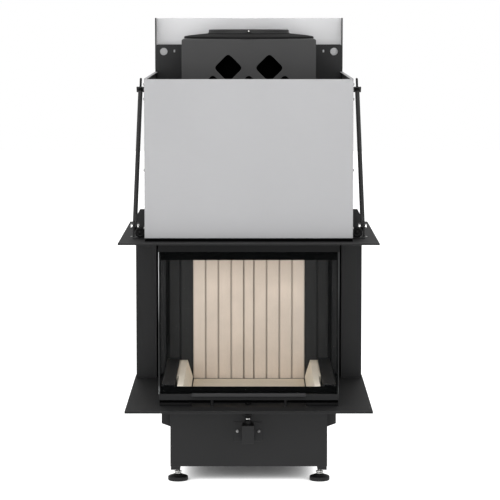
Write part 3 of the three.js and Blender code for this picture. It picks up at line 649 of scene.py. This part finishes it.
def slab(bm, low, high):
    """A block with all edges slightly rounded."""
    corners = bmesh.ops.create_cube(bm, size=1.0)["verts"]
    low, high = Vector(low), Vector(high)
    for vert in corners:
        vert.co = Vector(
            (low[k] + high[k]) / 2 + vert.co[k] * (high[k] - low[k]) for k in range(3)
        )
    edges = list(dict.fromkeys(edge for vert in corners for edge in vert.link_edges))
    reach = min(high - low)
    bmesh.ops.bevel(
        bm, geom=edges, offset=0.12 * reach, segments=2, affect="EDGES", profile=0.5,
    )


def side_slab(bm, sign, across, low, high):
    """A block on one side: its two distances from the middle plane, then its low and high y, z."""
    left, right = sorted(sign * x for x in across)
    slab(bm, (left, *low), (right, *high))


def drawn(shape, *values, **more):
    """A new bmesh that holds the shape."""
    bm = bmesh.new()
    shape(bm, *values, **more)
    return bm


def new_object(name, data):
    made = bpy.data.objects.new(name, data)
    bpy.context.scene.collection.objects.link(made)
    return made


def piece(name, bm, body, material, place=None, replaces=(), sharp=32.0):
    """Turns a bmesh into a piece of the object that rides on a body."""
    bmesh.ops.recalc_face_normals(bm, faces=bm.faces)
    mesh = bpy.data.meshes.new(name)
    bm.to_mesh(mesh)
    bm.free()
    if place is not None:
        mesh.transform(place)
    mesh.shade_smooth()
    mesh.set_sharp_from_angle(angle=math.radians(sharp))
    mesh.materials.append(finish(material))
    made = new_object(name, mesh)
    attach(made, body)
    if replaces:
        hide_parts(*replaces)


def along(axis, point):
    """Places a piece drawn along +Z from the origin so that it points along axis from point."""
    turn = Vector(axis).to_track_quat("Z", "Y").to_matrix().to_4x4()
    return Matrix.Translation(Vector(point)) @ turn


def fastener(name, head, size, metal, axis, point, body="frame", **more):
    """A screw or bolt whose head, of that radius and height, stands along axis on point."""
    radius, height = size
    piece(name, drawn(head, radius, 0.0, height, **more), body, metal,
          along(axis, point))


# ---- Pieces ------------------------------------------------------------------------------------

INLET_HEIGHT = 0.117  # axis of the outside-air spigot, in metres above the floor

# Finish and edge rounding of the nodes that are shown as they are
DRESSED = {
    "body paint": ["pedestal_base", "pedestal_front", "pedestal_left", "pedestal_right",
                   "pedestal_back", "air_control_box", "hearth_tray", "column_left", "column_right",
                   "firebox_back_plate", "firebox_top_plate", "rear_rail_left", "rear_rail_right",
                   "guide_rail_left", "guide_rail_right"],
    "rear plate paint": ["rear_plate"],
    "plate paint": ["lower_frame_plate", "upper_frame_plate"],
    "casing paint": ["casing_front", "casing_wrap"],
    "door paint": ["door_lower_frame"],
    "door top paint": ["door_top_rail"],
    "handle paint": ["door_handle"],
    "bare sheet": ["rear_sheet"],
    "housing sheet": ["housing_front", "housing_left", "housing_right"],
    "zinc": ["air_flap"],
    "fireclay": ["back_stone_left", "back_stone_centre", "back_stone_right"],
    "hearth fireclay": ["hearth_floor_stone", "side_stone_left", "side_stone_right"],
    "mineral board": ["baffle_plate"],
    "lining": ["rear_lining_left", "rear_lining_right"],
    "cast iron": ["counterweight_left", "counterweight_right"],
    "pane": ["door_glass_front", "door_glass_left", "door_glass_right"],
}
STONE = ("fireclay", "hearth fireclay", "mineral board")


def soften(node, width):
    """Rounds the edges of a carried-over solid without touching its mesh."""
    weld = node.modifiers.new("Weld", "WELD")
    weld.merge_threshold = 0.00001
    bevel = node.modifiers.new("Edge", "BEVEL")
    bevel.width = width
    bevel.segments = 2
    bevel.limit_method = "ANGLE"
    bevel.angle_limit = math.radians(35)
    bevel.use_clamp_overlap = True
    node.modifiers.new("Even shading", "WEIGHTED_NORMAL")


class HEARTH_OT_dress_frame(bpy.types.Operator):
    """Gives every carried-over sheet, plate, stone and pane its finish, and all but the panes
    rounded edges
    """

    bl_idname = "hearth.dress_frame"
    bl_label = "Dress the frame"

    def execute(self, context):
        for name, nodes in DRESSED.items():
            for label in nodes:
                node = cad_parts[label]
                node.data.materials.clear()
                node.data.materials.append(finish(name))
                if name == "pane":
                    continue
                soften(node, sizes().stone_edge if name in STONE else sizes().sheet_edge)
        return {"FINISHED"}


class HEARTH_OT_levelling_feet(bpy.types.Operator):
    """Builds each foot: a domed pad, a plated nut, a dull lock nut and a threaded spindle"""

    bl_idname = "hearth.levelling_feet"
    bl_label = "Levelling feet"

    def execute(self, context):
        s = sizes()
        for end, side in ((end, side) for end in ENDS for side, _ in SIDES):
            body = f"levelling_foot_{end}_{side}"
            low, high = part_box(body)
            place = ((low.x + high.x) / 2, (low.y + high.y) / 2)
            pad = drawn(lathe_solid, [
                (0.0225, 0.0), (0.0240, 0.0004), (0.0248, 0.0016), (0.0250, 0.0030),
                (0.0250, 0.0088), (0.0247, 0.0098), (0.0238, 0.0108), (0.0210, 0.0122),
                (0.0165, 0.0136), (0.0128, 0.0149), (0.0105, 0.0159), (0.0085, 0.0166),
            ], s.round_steps, place)
            piece(f"foot_pad_{end}_{side}", pad, body, "foot rubber",
                  replaces=[body])
            metal = drawn(lathe_solid, [
                (0.0064, 0.0166), (0.0070, 0.0170), (0.0070, 0.0182), (0.0064, 0.0185),
            ], 48, place)
            hexagon(metal, 0.0098, 0.0205, 0.0234, place, 0.3)
            threaded_bar(metal, s.spindle_radius, 0.0160, high.z, s.thread_pitch, place)
            piece(f"foot_spindle_{end}_{side}", metal, body, "zinc")
            lock = drawn(hexagon, 0.0092, 0.0186, 0.0204, place, 0.1)
            piece(f"foot_lock_nut_{end}_{side}", lock, body, "dull zinc")
        return {"FINISHED"}


class HEARTH_OT_smoke_dome(bpy.types.Operator):
    """Builds the hood and drum, the domed lid, and the flue collar with its front bolt"""

    bl_idname = "hearth.smoke_dome"
    bl_label = "Smoke dome and collar"

    def execute(self, context):
        steps = sizes().round_steps
        low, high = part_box("smoke_dome")
        centre = (0.0, 0.172)
        mouth_middle = 0.102
        half_x, half_y = 0.136, 0.084

        def mouth(grow, height):
            """A ring round the hood's rectangular mouth."""
            points = []
            for i in range(steps):
                angle = 2 * math.pi * i / steps
                reach = min(
                    (half_x + grow) / max(abs(math.cos(angle)), 1e-9),
                    (half_y + grow) / max(abs(math.sin(angle)), 1e-9),
                )
                points.append(Vector((
                    reach * math.cos(angle), mouth_middle + reach * math.sin(angle), height,
                )))
            return points

        def ring(radius, height):
            return ring_points(radius, height, steps, centre)

        drum = drawn(loft, [
            mouth(0.004, low.z), ring(0.160, 0.740), ring(0.160, 1.0914),
            ring(0.157, 1.0914), ring(0.157, 0.741), mouth(0.001, low.z),
        ], closed=True)
        piece("smoke_dome_drum", drum, "frame", "drum insulation",
              replaces=["smoke_dome"])

        lid = drawn(lathe, [
            (0.0985, 1.1012), (0.1560, 1.0936), (0.1600, 1.0916), (0.1672, 1.0915),
            (0.1680, 1.0922), (0.1680, 1.0944), (0.1672, 1.0958), (0.1650, 1.0968),
            (0.1600, 1.0979), (0.1500, 1.0994), (0.1350, 1.1012), (0.1200, 1.1027),
            (0.1080, high.z - 0.0001), (0.0985, high.z - 0.0001),
        ], steps, centre)
        piece("smoke_dome_lid", lid, "frame", "lid paint")

        collar_low, collar_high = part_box("flue_collar")
        foot, top = collar_low.z, collar_high.z
        collar = drawn(lathe, [
            (0.0985, foot), (0.1058, foot), (0.1060, foot + 0.0003), (0.1060, foot + 0.0012),
            (0.1052, foot + 0.0016), (0.1042, foot + 0.0018), (0.1040, foot + 0.0024),
            (0.1040, top - 0.0017), (0.1036, top - 0.0010), (0.1027, top - 0.0002),
            (0.1022, top), (0.0992, top), (0.0985, top - 0.0006),
        ], steps, centre)
        piece("flue_collar_ring", collar, "frame", "collar paint",
              replaces=["flue_collar"])

        forward, front = (0, -1, 0), (-0.0005, centre[1] - 0.104, top - 0.0034)
        fastener("collar_bolt", hexagon, (0.0046, 0.0030), "black oxide", forward, front)
        button = drawn(pan_head, 0.0022, 0.0030, 0.0044, steps=24)
        piece("collar_bolt_button", button, "frame", "zinc", along(forward, front))
        return {"FINISHED"}


class HEARTH_OT_lifting_gear(bpy.types.Operator):
    """Builds the link chains, the grooved chain wheels and the weights' chain clamps"""

    bl_idname = "hearth.lifting_gear"
    bl_label = "Lifting gear"

    def execute(self, context):
        for side, sign in SIDES:
            node = f"lift_chain_{side}"
            low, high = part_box(node)
            wire = 0.002
            x, middle = (low.x + high.x) / 2, (low.y + high.y) / 2
            radius = (high.y - low.y) / 2 - wire
            chain = self.chain(x, middle, radius, low.z + wire + radius, high.z - wire - radius)
            piece(f"link_chain_{side}", chain, "frame", "zinc", replaces=[node], sharp=80)

            node = f"chain_wheel_{side}"
            low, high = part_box(node)
            rim = (high.z - low.z) / 2
            groove = rim - 0.0078
            half = [
                (0.0054, -0.0078), (0.0058, -0.0080), (0.0115, -0.0080), (0.0120, -0.0074),
                (0.0122, -0.0052), (0.0150, -0.0030), (0.0460, -0.0030), (0.0490, -0.0050),
                (rim - 0.0008, -0.0050), (rim, -0.0044), (rim - 0.0003, -0.0036),
                (groove + 0.0010, -0.0024), (groove, -0.0014),
            ]
            wheel = drawn(lathe, half + [(r, -z) for r, z in reversed(half)], sizes().round_steps)
            for k in range(5):
                angle = 2 * math.pi * k / 5
                place = (0.031 * math.cos(angle), 0.031 * math.sin(angle))
                pan_head(wheel, 0.0052, 0.0029, 0.0046, place)
            piece(f"grooved_wheel_{side}", wheel, node, "cast iron",
                  along((sign, 0, 0), (low + high) / 2), replaces=[node])

            weight = f"counterweight_{side}"
            _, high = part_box(weight)
            clamp = drawn(lathe, [
                (0.0034, high.z + 0.0002), (0.0068, high.z + 0.0002), (0.0072, high.z + 0.0010),
                (0.0072, high.z + 0.0036), (0.0064, high.z + 0.0046), (0.0034, high.z + 0.0046),
            ], 40, (x, middle + radius))
            piece(f"weight_clamp_{side}", clamp, weight, "zinc")
        return {"FINISHED"}

    @staticmethod
    def chain(x, middle, radius, bottom, top):
        """A loop of links round two wheels, each link a quarter turn from the last."""
        s = sizes()
        run, arc = top - bottom, math.pi * radius
        total = 2 * (run + arc)

        def bend(height, angle):
            return (
                Vector((x, middle + radius * math.cos(angle), height + radius * math.sin(angle))),
                Vector((0, math.sin(angle), -math.cos(angle))),
            )

        def spot(distance):
            """The point at that distance along the loop, and the heading there."""
            if distance < run:
                return Vector((x, middle - radius, bottom + distance)), Vector((0, 0, 1))
            distance -= run
            if distance < arc:
                return bend(top, math.pi - distance / radius)
            distance -= arc
            if distance < run:
                return Vector((x, middle + radius, top - distance)), Vector((0, 0, -1))
            return bend(bottom, (run - distance) / radius)

        count = 2 * round(total / s.link_pitch / 2)
        step = total / count
        width = 0.0013
        half = step / 2 + s.link_wire * 0.9 - width
        links = bmesh.new()
        for k in range(count):
            centre, tangent = spot(k * step)
            flat = Vector((1, 0, 0)) if k % 2 else tangent.cross(Vector((1, 0, 0)))
            normal = tangent.cross(flat)
            rows = []
            for angle in (2 * math.pi * i / 10 for i in range(10)):
                out = tangent * math.cos(angle) + flat * math.sin(angle)
                heart = centre + tangent * math.copysign(half, math.cos(angle)) + out * width
                rows.append([
                    heart + s.link_wire * (out * math.cos(a) + normal * math.sin(a))
                    for a in (2 * math.pi * j / 5 for j in range(5))
                ])
            loft(links, rows, closed=True)
        return links


class HEARTH_OT_side_stays(bpy.types.Operator):
    """Builds the slanting stays and their brackets: pipe, thread, nuts, folded bracket and knob"""

    bl_idname = "hearth.side_stays"
    bl_label = "Side stays"

    def execute(self, context):
        rise = Vector((0.0, 0.340, 0.354)).normalized()
        _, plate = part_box("upper_frame_plate")
        foot = plate.z + 0.0003
        for side, sign in SIDES:
            pivot = Vector((sign * 0.2794, -0.219, 0.636))
            lean = Vector((-sign * 0.0022, rise.y, rise.z))
            tilt = Vector((0, 0, 1)).rotation_difference(lean).to_matrix().to_4x4()
            place = Matrix.Translation(pivot) @ tilt
            pipe = drawn(lathe_solid, [
                (0.0040, 0.0120), (0.0050, 0.0122), (0.0056, 0.0128), (0.0057, 0.0136),
                (0.0057, 0.4404), (0.0055, 0.4412), (0.0042, 0.4414),
            ], 40)
            eye = -0.002 * sign
            slab(pipe, (eye - 0.0024, -0.0078, -0.0085), (eye + 0.0024, 0.0078, 0.0330))
            piece(f"stay_pipe_{side}", pipe, "frame", "body paint", place,
                  replaces=[f"stay_tube_{side}"])
            rod = drawn(threaded_bar, 0.0030, 0.4404, 0.4886, sizes().thread_pitch)
            for start in (0.4418, 0.4512):
                hexagon(rod, 0.0062, start, start + 0.0056)
            piece(f"stay_thread_{side}", rod, "frame", "black oxide", place,
                  replaces=[f"stay_rod_{side}"])

            # The foot, the gusset beside the housing and the rounded lug are one folded bracket.
            inner, outer = 0.2516, 0.2840
            bracket = drawn(side_slab, sign, (inner, outer), (-0.248, foot),
                            (-0.205, foot + 0.0016))
            gusset = [(inner, foot), (0.2664, foot), (0.2664, 0.6425), (0.2680, 0.6450),
                      (0.2728, 0.6480), (0.2728, 0.6655), (0.2723, 0.6668),
                      (0.2660, 0.6790), (0.2646, 0.6798), (inner, 0.6798)]
            loft(bracket, [[Vector((sign * x, y, z)) for x, z in gusset] for y in (-0.237, -0.234)])
            lug = [(pivot.y - 0.011, foot), (pivot.y + 0.011, foot)]
            lug += [
                (pivot.y + 0.011 * math.cos(a), pivot.z + 0.011 * math.sin(a))
                for a in (math.pi * k / 16 for k in range(17))
            ]
            loft(bracket, [[Vector((sign * x, y, z)) for y, z in lug] for x in (0.2803, outer)])
            piece(f"bracket_{side}", bracket, "frame", "body paint",
                  replaces=[f"stay_bracket_{side}"])

            across = along((sign, 0, 0), (0, pivot.y, pivot.z))
            bolt = drawn(lathe_solid, [
                (0.0036, 0.2676), (0.0040, 0.2680), (0.0040, 0.2906), (0.0036, 0.2910),
            ], 28)
            for start in (0.2744, 0.2841):
                lathe_solid(bolt, [
                    (0.0058, start), (0.0060, start + 0.0002), (0.0058, start + 0.0005),
                ], 32)
            piece(f"pivot_bolt_{side}", bolt, "frame", "black oxide", across)
            nuts = drawn(hexagon, 0.0056, 0.2690, 0.2742)
            hexagon(nuts, 0.0056, 0.2848, 0.2896)
            piece(f"pivot_nuts_{side}", nuts, "frame", "zinc", across)
            knob = drawn(lathe_solid, [
                (0.0100, -0.0010), (0.0122, 0.0002), (0.0126, 0.0014), (0.0126, 0.0104),
                (0.0118, 0.0122), (0.0096, 0.0130), (0.0090, 0.0118), (0.0058, 0.0112),
                (0.0044, 0.0128), (0.0022, 0.0134),
            ], 48)
            piece(f"bracket_knob_{side}", knob, "frame", "black oxide",
                  along((0, -1, 0), (sign * 0.2655, -0.237, foot + 0.0146)))
        return {"FINISHED"}


class HEARTH_OT_door_dressing(bpy.types.Operator):
    """Adds the panes' print, edges with a painted highlight, gaskets, a black fin of painted shade
    under the door, dark sills that paint the shade at its ends, black strips of painted shade
    beside the columns, and the rope
    """

    bl_idname = "hearth.door_dressing"
    bl_label = "Door print, edges and seals"

    def execute(self, context):
        s = sizes()
        low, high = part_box("door_glass_front")
        front = low.y
        gap, skin = 0.00008, 0.00015
        lower, upper = low.z + s.lower_print, high.z - s.upper_print
        panes = []
        for side, sign in SIDES:
            pane_low, pane_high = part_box(f"door_glass_{side}")
            inner, outer = sorted((abs(pane_low.x), abs(pane_high.x)))
            printed = (inner - gap, inner - gap - skin)
            panes.append((side, sign, inner, outer, printed, pane_low.y + 0.001, pane_high.y))
        for level, base, top in (("lower", low.z, lower), ("upper", upper, high.z)):
            band = drawn(slab, (low.x + 0.0045, high.y + gap, base),
                         (high.x - 0.0045, high.y + gap + skin, top))
            piece(f"front_print_{level}", band, "door", "fired print")
            for side, sign, inner, outer, printed, start, end in panes:
                strip = drawn(side_slab, sign, printed, (start, base), (end, top))
                piece(f"side_print_{level}_{side}", strip, "door", "grey print")
        for side, sign, inner, outer, printed, start, end in panes:
            back = drawn(side_slab, sign, printed, (end - 0.010, lower), (end, upper))
            piece(f"side_print_rear_{side}", back, "door", "fired print")
            # The bevelled nose of the side pane stands just ahead of the front pane's corner.
            nose = ((0.0, 0.0004), (0.0, -0.0001), (0.0006, -0.0006), (0.0015, -0.0003),
                    (0.0015, -0.0001))
            edge = drawn(loft, [
                [Vector((sign * (outer - inward), front + y, z)) for inward, y in nose]
                for z in (low.z, high.z)
            ])
            # The edge gets a painted highlight, strong on the left and faint on the right.
            piece(f"glass_edge_{side}", edge, "door",
                  f"ground edge {'lit' if sign < 0 else 'dull'}", sharp=15)
            rubber = drawn(side_slab, sign, (outer - 0.0017, outer - 0.0030),
                           (front - 0.0004, low.z), (front - 0.0001, high.z))
            piece(f"edge_band_{side}", rubber, "door", "fired print")
            gasket = drawn(side_slab, sign, (inner - 0.0013, inner - 0.0001),
                           (high.y + 0.0003, low.z), (high.y + 0.0033, high.z))
            piece(f"corner_gasket_{side}", gasket, "door", "fired print")

        rail_low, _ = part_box("door_lower_frame")
        # A black fin under the door's lower rail: painted shade for the gap beneath the door.
        fin = drawn(slab, (-0.2185, -0.2790, 0.2082), (0.2185, -0.2768, rail_low.z + 0.0002))
        piece("door_foot_seal", fin, "door", "fired print")
        for side, sign in SIDES:
            # A dark sill at each end under the door, reaching in far enough to paint the shade
            # beneath the door's corners.
            sill = drawn(side_slab, sign, (0.1400, 0.2185), (-0.2782, 0.1999), (-0.2754, 0.2079))
            piece(f"hearth_sill_{side}", sill, "frame", "door top paint")
            # A black strip of painted shade in the deep gap between the door's side and the column.
            seal = drawn(side_slab, sign, (0.2300, 0.2450), (0.2009, 0.2002), (0.2027, 0.6038))
            piece(f"column_seal_{side}", seal, "frame", "fired print")
        self.lay_rope(s.rope_radius)
        return {"FINISHED"}

    @staticmethod
    def lay_rope(radius):
        """Lays the rope on the firebox's top plate: two straight sides and two bends in front."""
        low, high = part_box("firebox_top_plate")
        reach, bend, rear = high.x + 0.0050, 0.014, 0.15
        route = [(-reach, rear)]
        for middle, start in ((-reach + bend, math.pi), (reach - bend, 1.5 * math.pi)):
            for angle in (start + k * math.pi / 16 for k in range(9)):
                route.append((
                    middle + bend * math.cos(angle), low.y + bend + bend * math.sin(angle),
                ))
        route.append((reach, rear))
        curve = bpy.data.curves.new("top_seal", "CURVE")
        curve.dimensions = "3D"
        curve.bevel_depth = radius
        curve.bevel_resolution = 5
        spline = curve.splines.new("POLY")
        spline.points.add(len(route) - 1)
        for point, (x, y) in zip(spline.points, route):
            point.co = (x, y, high.z + radius + 0.0003, 1.0)
        curve.materials.append(finish("sealing rope"))
        rope = new_object("top_seal", curve)
        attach(rope, "frame")


class HEARTH_OT_air_control(bpy.types.Operator):
    """Builds the knob, the universal joint and the screws of the air control"""

    bl_idname = "hearth.air_control"
    bl_label = "Air control"

    def execute(self, context):
        low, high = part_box("air_control_spindle")
        x, y, top = (low.x + high.x) / 2, -0.258, high.z
        knob = drawn(lathe_solid, [
            (0.0060, top - 0.0066), (0.0068, top - 0.0062), (0.0070, top - 0.0050),
            (0.0070, top - 0.0014), (0.0064, top - 0.0003), (0.0050, top),
        ], 48, (x, y))
        for rib in ring_points(0.0068, 0.0, 12, (x, y)):
            lathe_solid(knob, [(0.0007, top - 0.0058), (0.0007, top - 0.0012)], 8, rib)
        lathe_solid(knob, [(0.0038, 0.1310), (0.0038, top - 0.0060)], 32, (x, y))
        piece("control_knob", knob, "air_control", "black oxide",
              replaces=["air_control_spindle"])
        joint = bmesh.new()
        for sign in (-1, 1):
            first = len(joint.verts)
            lathe_solid(joint, [
                (0.0020, 0.0), (0.0052, 0.0006), (0.0062, 0.0022), (0.0062, 0.0056),
                (0.0052, 0.0072), (0.0026, 0.0078),
            ], 40)
            joint.verts.ensure_lookup_table()
            turn = along((sign, 0, 0), (x + sign * 0.0022, y - 0.0010, 0.1760))
            for vert in joint.verts[first:]:
                vert.co = turn @ vert.co
        lathe_solid(joint, [
            (0.0062, 0.1510), (0.0066, 0.1520), (0.0066, 0.1600), (0.0058, 0.1612),
            (0.0046, 0.1616),
        ], 40, (x, y))
        piece("control_joint", joint, "air_control", "black oxide")
        pin = drawn(lathe_solid, [
            (0.0010, -0.0052), (0.0018, -0.0048), (0.0019, -0.0038), (0.0019, 0.0012),
            (0.0013, 0.0016), (0.0013, 0.0022), (0.0018, 0.0026), (0.0018, 0.0046),
            (0.0010, 0.0050),
        ], 32)
        piece("control_joint_pin", pin, "air_control", "zinc",
              along((1, 0, 0), (x, y - 0.0066, 0.1655)))
        _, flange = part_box("air_control_box")
        for side, step in (("left", -0.0260), ("right", 0.0265)):
            fastener(f"control_screw_{side}", pan_head, (0.0040, 0.0024), "dull zinc",
                     (0, -1, 0), (x + step, flange.y - 0.0020, 0.1285))
        return {"FINISHED"}


class HEARTH_OT_fasteners(bpy.types.Operator):
    """Adds the screws and bolts of housing, plates and pedestal, the housing's hem, and a black
    strip of painted shade at the housing's foot
    """

    bl_idname = "hearth.fasteners"
    bl_label = "Screws and bolts"

    def execute(self, context):
        _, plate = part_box("upper_frame_plate")
        up, back, forward = (0, 0, 1), (0, 1, 0), (0, -1, 0)
        housing_screws = [(-0.315, z) for z in (0.9864, 0.9509, 0.780, 0.640)]
        housing_screws += [(0.300, z) for z in (0.980, 0.780, 0.560, 0.340)]
        for side, sign in SIDES:
            outward = (sign, 0, 0)
            for k, (y, z) in enumerate(housing_screws):
                fastener(f"housing_screw_{side}_{k}", pan_head, (0.0034, 0.0024), "dull zinc",
                         outward, (sign * 0.2511, y, z), steps=28)
            fastener(f"plate_bolt_{side}", pan_head, (0.0040, 0.0028), "dull zinc",
                     up, (sign * 0.2875, -0.212, plate.z + 0.0004), steps=28)
            hem = drawn(side_slab, sign, (0.2430, 0.2510), (-0.3235, 0.9991), (0.3350, 1.0003))
            piece(f"housing_hem_{side}", hem, "frame", "housing sheet")
            for k, x in enumerate((0.198, 0.236)):
                fastener(f"rear_plate_bolt_{side}_{k}", hexagon, (0.0050, 0.0036), "black oxide",
                         forward, (sign * x, 0.3359, 0.90))
            for k, y in enumerate((0.195, 0.222)):
                fastener(f"column_bolt_{side}_{k}", hexagon, (0.0060, 0.0046), "black oxide",
                         up, (sign * 0.270, y, plate.z + 0.0001))
            for k, z in enumerate((0.3050, 0.4500)):
                fastener(f"slide_block_screw_{side}_{k}", pan_head, (0.0046, 0.0026),
                         "black oxide", outward, (sign * 0.2321, 0.160, z), "door", steps=28)
        # A black strip at the foot of the housing's front panel: painted shade for the dark gap
        # above the plate.
        foot = drawn(slab, (-0.2508, -0.3258, plate.z + 0.0003), (0.2508, -0.3240, 0.6160))
        piece("housing_foot", foot, "frame", "fired print")
        for k, x in enumerate((-0.160, -0.080, 0.080, 0.160)):
            fastener(f"pedestal_back_bolt_{k}", hexagon, (0.0046, 0.0034), "black oxide",
                     back, (x, 0.3301, 0.180))
        for k in range(6):
            angle = math.radians(30 + 60 * k)
            x, z = 0.068 * math.cos(angle), INLET_HEIGHT + 0.068 * math.sin(angle)
            fastener(f"inlet_screw_{k}", pan_head, (0.0034, 0.0022), "zinc",
                     back, (x, 0.3324, z), steps=24)
        return {"FINISHED"}


class HEARTH_OT_air_inlet(bpy.types.Operator):
    """Builds the round outside-air spigot with its hose bead and screwed flange"""

    bl_idname = "hearth.air_inlet"
    bl_label = "Air inlet"

    def execute(self, context):
        low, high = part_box("air_inlet_spigot")
        reach = high.y - low.y
        spigot = drawn(lathe, [
            (0.0600, 0.0), (0.0735, 0.0), (0.0740, 0.0005), (0.0740, 0.0016), (0.0736, 0.0020),
            (0.0632, 0.0020), (0.0620, 0.0032), (0.0620, reach - 0.0120), (0.0632, reach - 0.0102),
            (0.0636, reach - 0.0085), (0.0632, reach - 0.0068), (0.0620, reach - 0.0050),
            (0.0620, reach - 0.0006), (0.0614, reach), (0.0604, reach), (0.0600, reach - 0.0006),
        ], sizes().round_steps)
        piece("air_spigot", spigot, "frame", "bare sheet",
              along((0, 1, 0), (0.0, low.y, INLET_HEIGHT)), replaces=["air_inlet_spigot"])
        return {"FINISHED"}


class HEARTH_OT_stage(bpy.types.Operator):
    """Sets the floor, the soft studio light and the camera"""

    bl_idname = "hearth.stage"
    bl_label = "Stage"

    # Name, place, height of the aim on the middle axis, width and height, power
    LIGHTS = (
        ("Overhead", (0.0, -1.6, 3.6), 0.4, (3.2, 2.4), 60.0),
        ("Left", (-3.2, -2.6, 1.4), 0.6, (1.4, 2.4), 34.0),
        ("Right", (3.6, -2.2, 1.6), 0.6, (1.2, 2.2), 14.0),
        ("Front", (0.0, -4.6, 0.95), 0.4, (1.6, 0.8), 34.0),
    )

    def execute(self, context):
        values = stage_values()
        self.lay_floor()
        self.light_room(context.scene, values.sky)
        self.set_camera(context.scene, values)
        return {"FINISHED"}

    @staticmethod
    def lay_floor():
        grid = bmesh.new()
        bmesh.ops.create_grid(grid, x_segments=8, y_segments=8, size=14.0)
        mesh = bpy.data.meshes.new("studio_floor")
        grid.to_mesh(mesh)
        grid.free()
        material, tree, grain = start_material("studio floor", 220.0, 0.6)
        inputs = shader_inputs(material)
        tree.links.new(
            blend_colour(tree, grain["Cloud"], grey(0.30), grey(0.31)), inputs["Base Color"],
        )
        inputs["Roughness"].default_value = 0.9
        inputs["Specular IOR Level"].default_value = 0.0
        # Bright glowing paper with a painted contact shadow: ambient occlusion darkens its glow
        # where something stands close above it.
        painted_shadow_occlusion = tree.nodes.new("ShaderNodeAmbientOcclusion")
        painted_shadow_occlusion.samples = 48
        painted_shadow_occlusion.inputs["Distance"].default_value = 0.45
        painted_shadow_falloff = sharpen(tree, painted_shadow_occlusion.outputs["AO"], 0.028, 0.20)
        tree.links.new(blend_colour(tree, painted_shadow_falloff, grey(0.05), grey(1.1)), inputs["Emission Color"])
        inputs["Emission Strength"].default_value = 1.0
        mesh.materials.append(material)
        floor = new_object("studio_floor", mesh)
        floor.location = (0, 0, -0.0002)

    def light_room(self, scene, sky):
        world = bpy.data.worlds.new("Studio")
        scene.world = world
        world.use_nodes = True
        tree = world.node_tree
        tree.nodes.clear()
        out = tree.nodes.new("ShaderNodeOutputWorld")
        split = tree.nodes.new("ShaderNodeSeparateXYZ")
        tree.links.new(tree.nodes.new("ShaderNodeTexCoord").outputs["Generated"], split.inputs[0])
        height = sharpen(tree, split.outputs["Z"], -0.15, 0.9)
        soft = tree.nodes.new("ShaderNodeBackground")
        tree.links.new(
            blend_colour(tree, height, grey(0.62 * sky), grey(1.25 * sky)), soft.inputs[0],
        )
        plain = tree.nodes.new("ShaderNodeBackground")
        plain.inputs[0].default_value = (1.0, 1.0, 1.0, 1.0)
        mix = tree.nodes.new("ShaderNodeMixShader")
        seen = tree.nodes.new("ShaderNodeLightPath").outputs["Is Camera Ray"]
        for source, socket in zip((seen, soft.outputs[0], plain.outputs[0]), mix.inputs):
            tree.links.new(source, socket)
        tree.links.new(mix.outputs[0], out.inputs[0])

        for name, place, aim, size, power in self.LIGHTS:
            light = bpy.data.lights.new(name, "AREA")
            light.shape = "RECTANGLE"
            light.size, light.size_y = size
            light.energy = power
            lamp = new_object(name, light)
            lamp.location = place
            toward = Vector((0.0, 0.0, aim)) - Vector(place)
            lamp.rotation_euler = toward.to_track_quat("-Z", "Y").to_euler()

    @staticmethod
    def set_camera(scene, values):
        camera = bpy.data.cameras.new("Camera")
        camera.sensor_width = 36.0
        camera.lens = 36.0 * values.focal_pixels / 500.0
        camera.clip_start, camera.clip_end = 0.1, 100.0
        eye = new_object("Camera", camera)
        eye.location = (values.camera_side, -values.camera_distance, values.camera_height)
        eye.rotation_euler = (math.pi / 2 - values.camera_tilt, 0.0, 0.0)
        scene.camera = eye
        scene.view_settings.view_transform = "Standard"
        scene.view_settings.look = "None"


PIECES = (
    HEARTH_OT_dress_frame,
    HEARTH_OT_levelling_feet,
    HEARTH_OT_smoke_dome,
    HEARTH_OT_lifting_gear,
    HEARTH_OT_side_stays,
    HEARTH_OT_door_dressing,
    HEARTH_OT_air_control,
    HEARTH_OT_air_inlet,
    HEARTH_OT_fasteners,
    HEARTH_OT_stage,
)


class HEARTH_PT_panel(bpy.types.Panel):
    """Lists the sizes, the colours and the pieces"""

    bl_idname = "HEARTH_PT_panel"
    bl_label = "Fireplace insert"
    bl_space_type = "VIEW_3D"
    bl_region_type = "UI"
    bl_category = "Hearth"

    def draw(self, context):
        layout = self.layout
        for title, group in (
            ("Sizes", sizes()), ("Colours", colours()), ("Stage", stage_values()),
        ):
            box = layout.box()
            box.label(text=title)
            for key in group.__annotations__:
                box.prop(group, key)
        for operator in PIECES:
            layout.operator(operator.bl_idname)


GROUPS = {
    "hearth_sizes": HearthSizes,
    "hearth_colours": HearthColours,
    "hearth_stage": HearthStage,
}


def register():
    for group in GROUPS.values():
        bpy.utils.register_class(group)
    for key, group in GROUPS.items():
        setattr(bpy.types.Scene, key, PointerProperty(type=group))
    for operator in PIECES:
        bpy.utils.register_class(operator)
    bpy.utils.register_class(HEARTH_PT_panel)


def unregister():
    bpy.utils.unregister_class(HEARTH_PT_panel)
    for operator in reversed(PIECES):
        bpy.utils.unregister_class(operator)
    for key in GROUPS:
        delattr(bpy.types.Scene, key)
    for group in reversed(list(GROUPS.values())):
        bpy.utils.unregister_class(group)


def main():
    register()
    for operator in PIECES:
        area, name = operator.bl_idname.split(".")
        getattr(getattr(bpy.ops, area), name)()


if __name__ == "__main__":
    main()
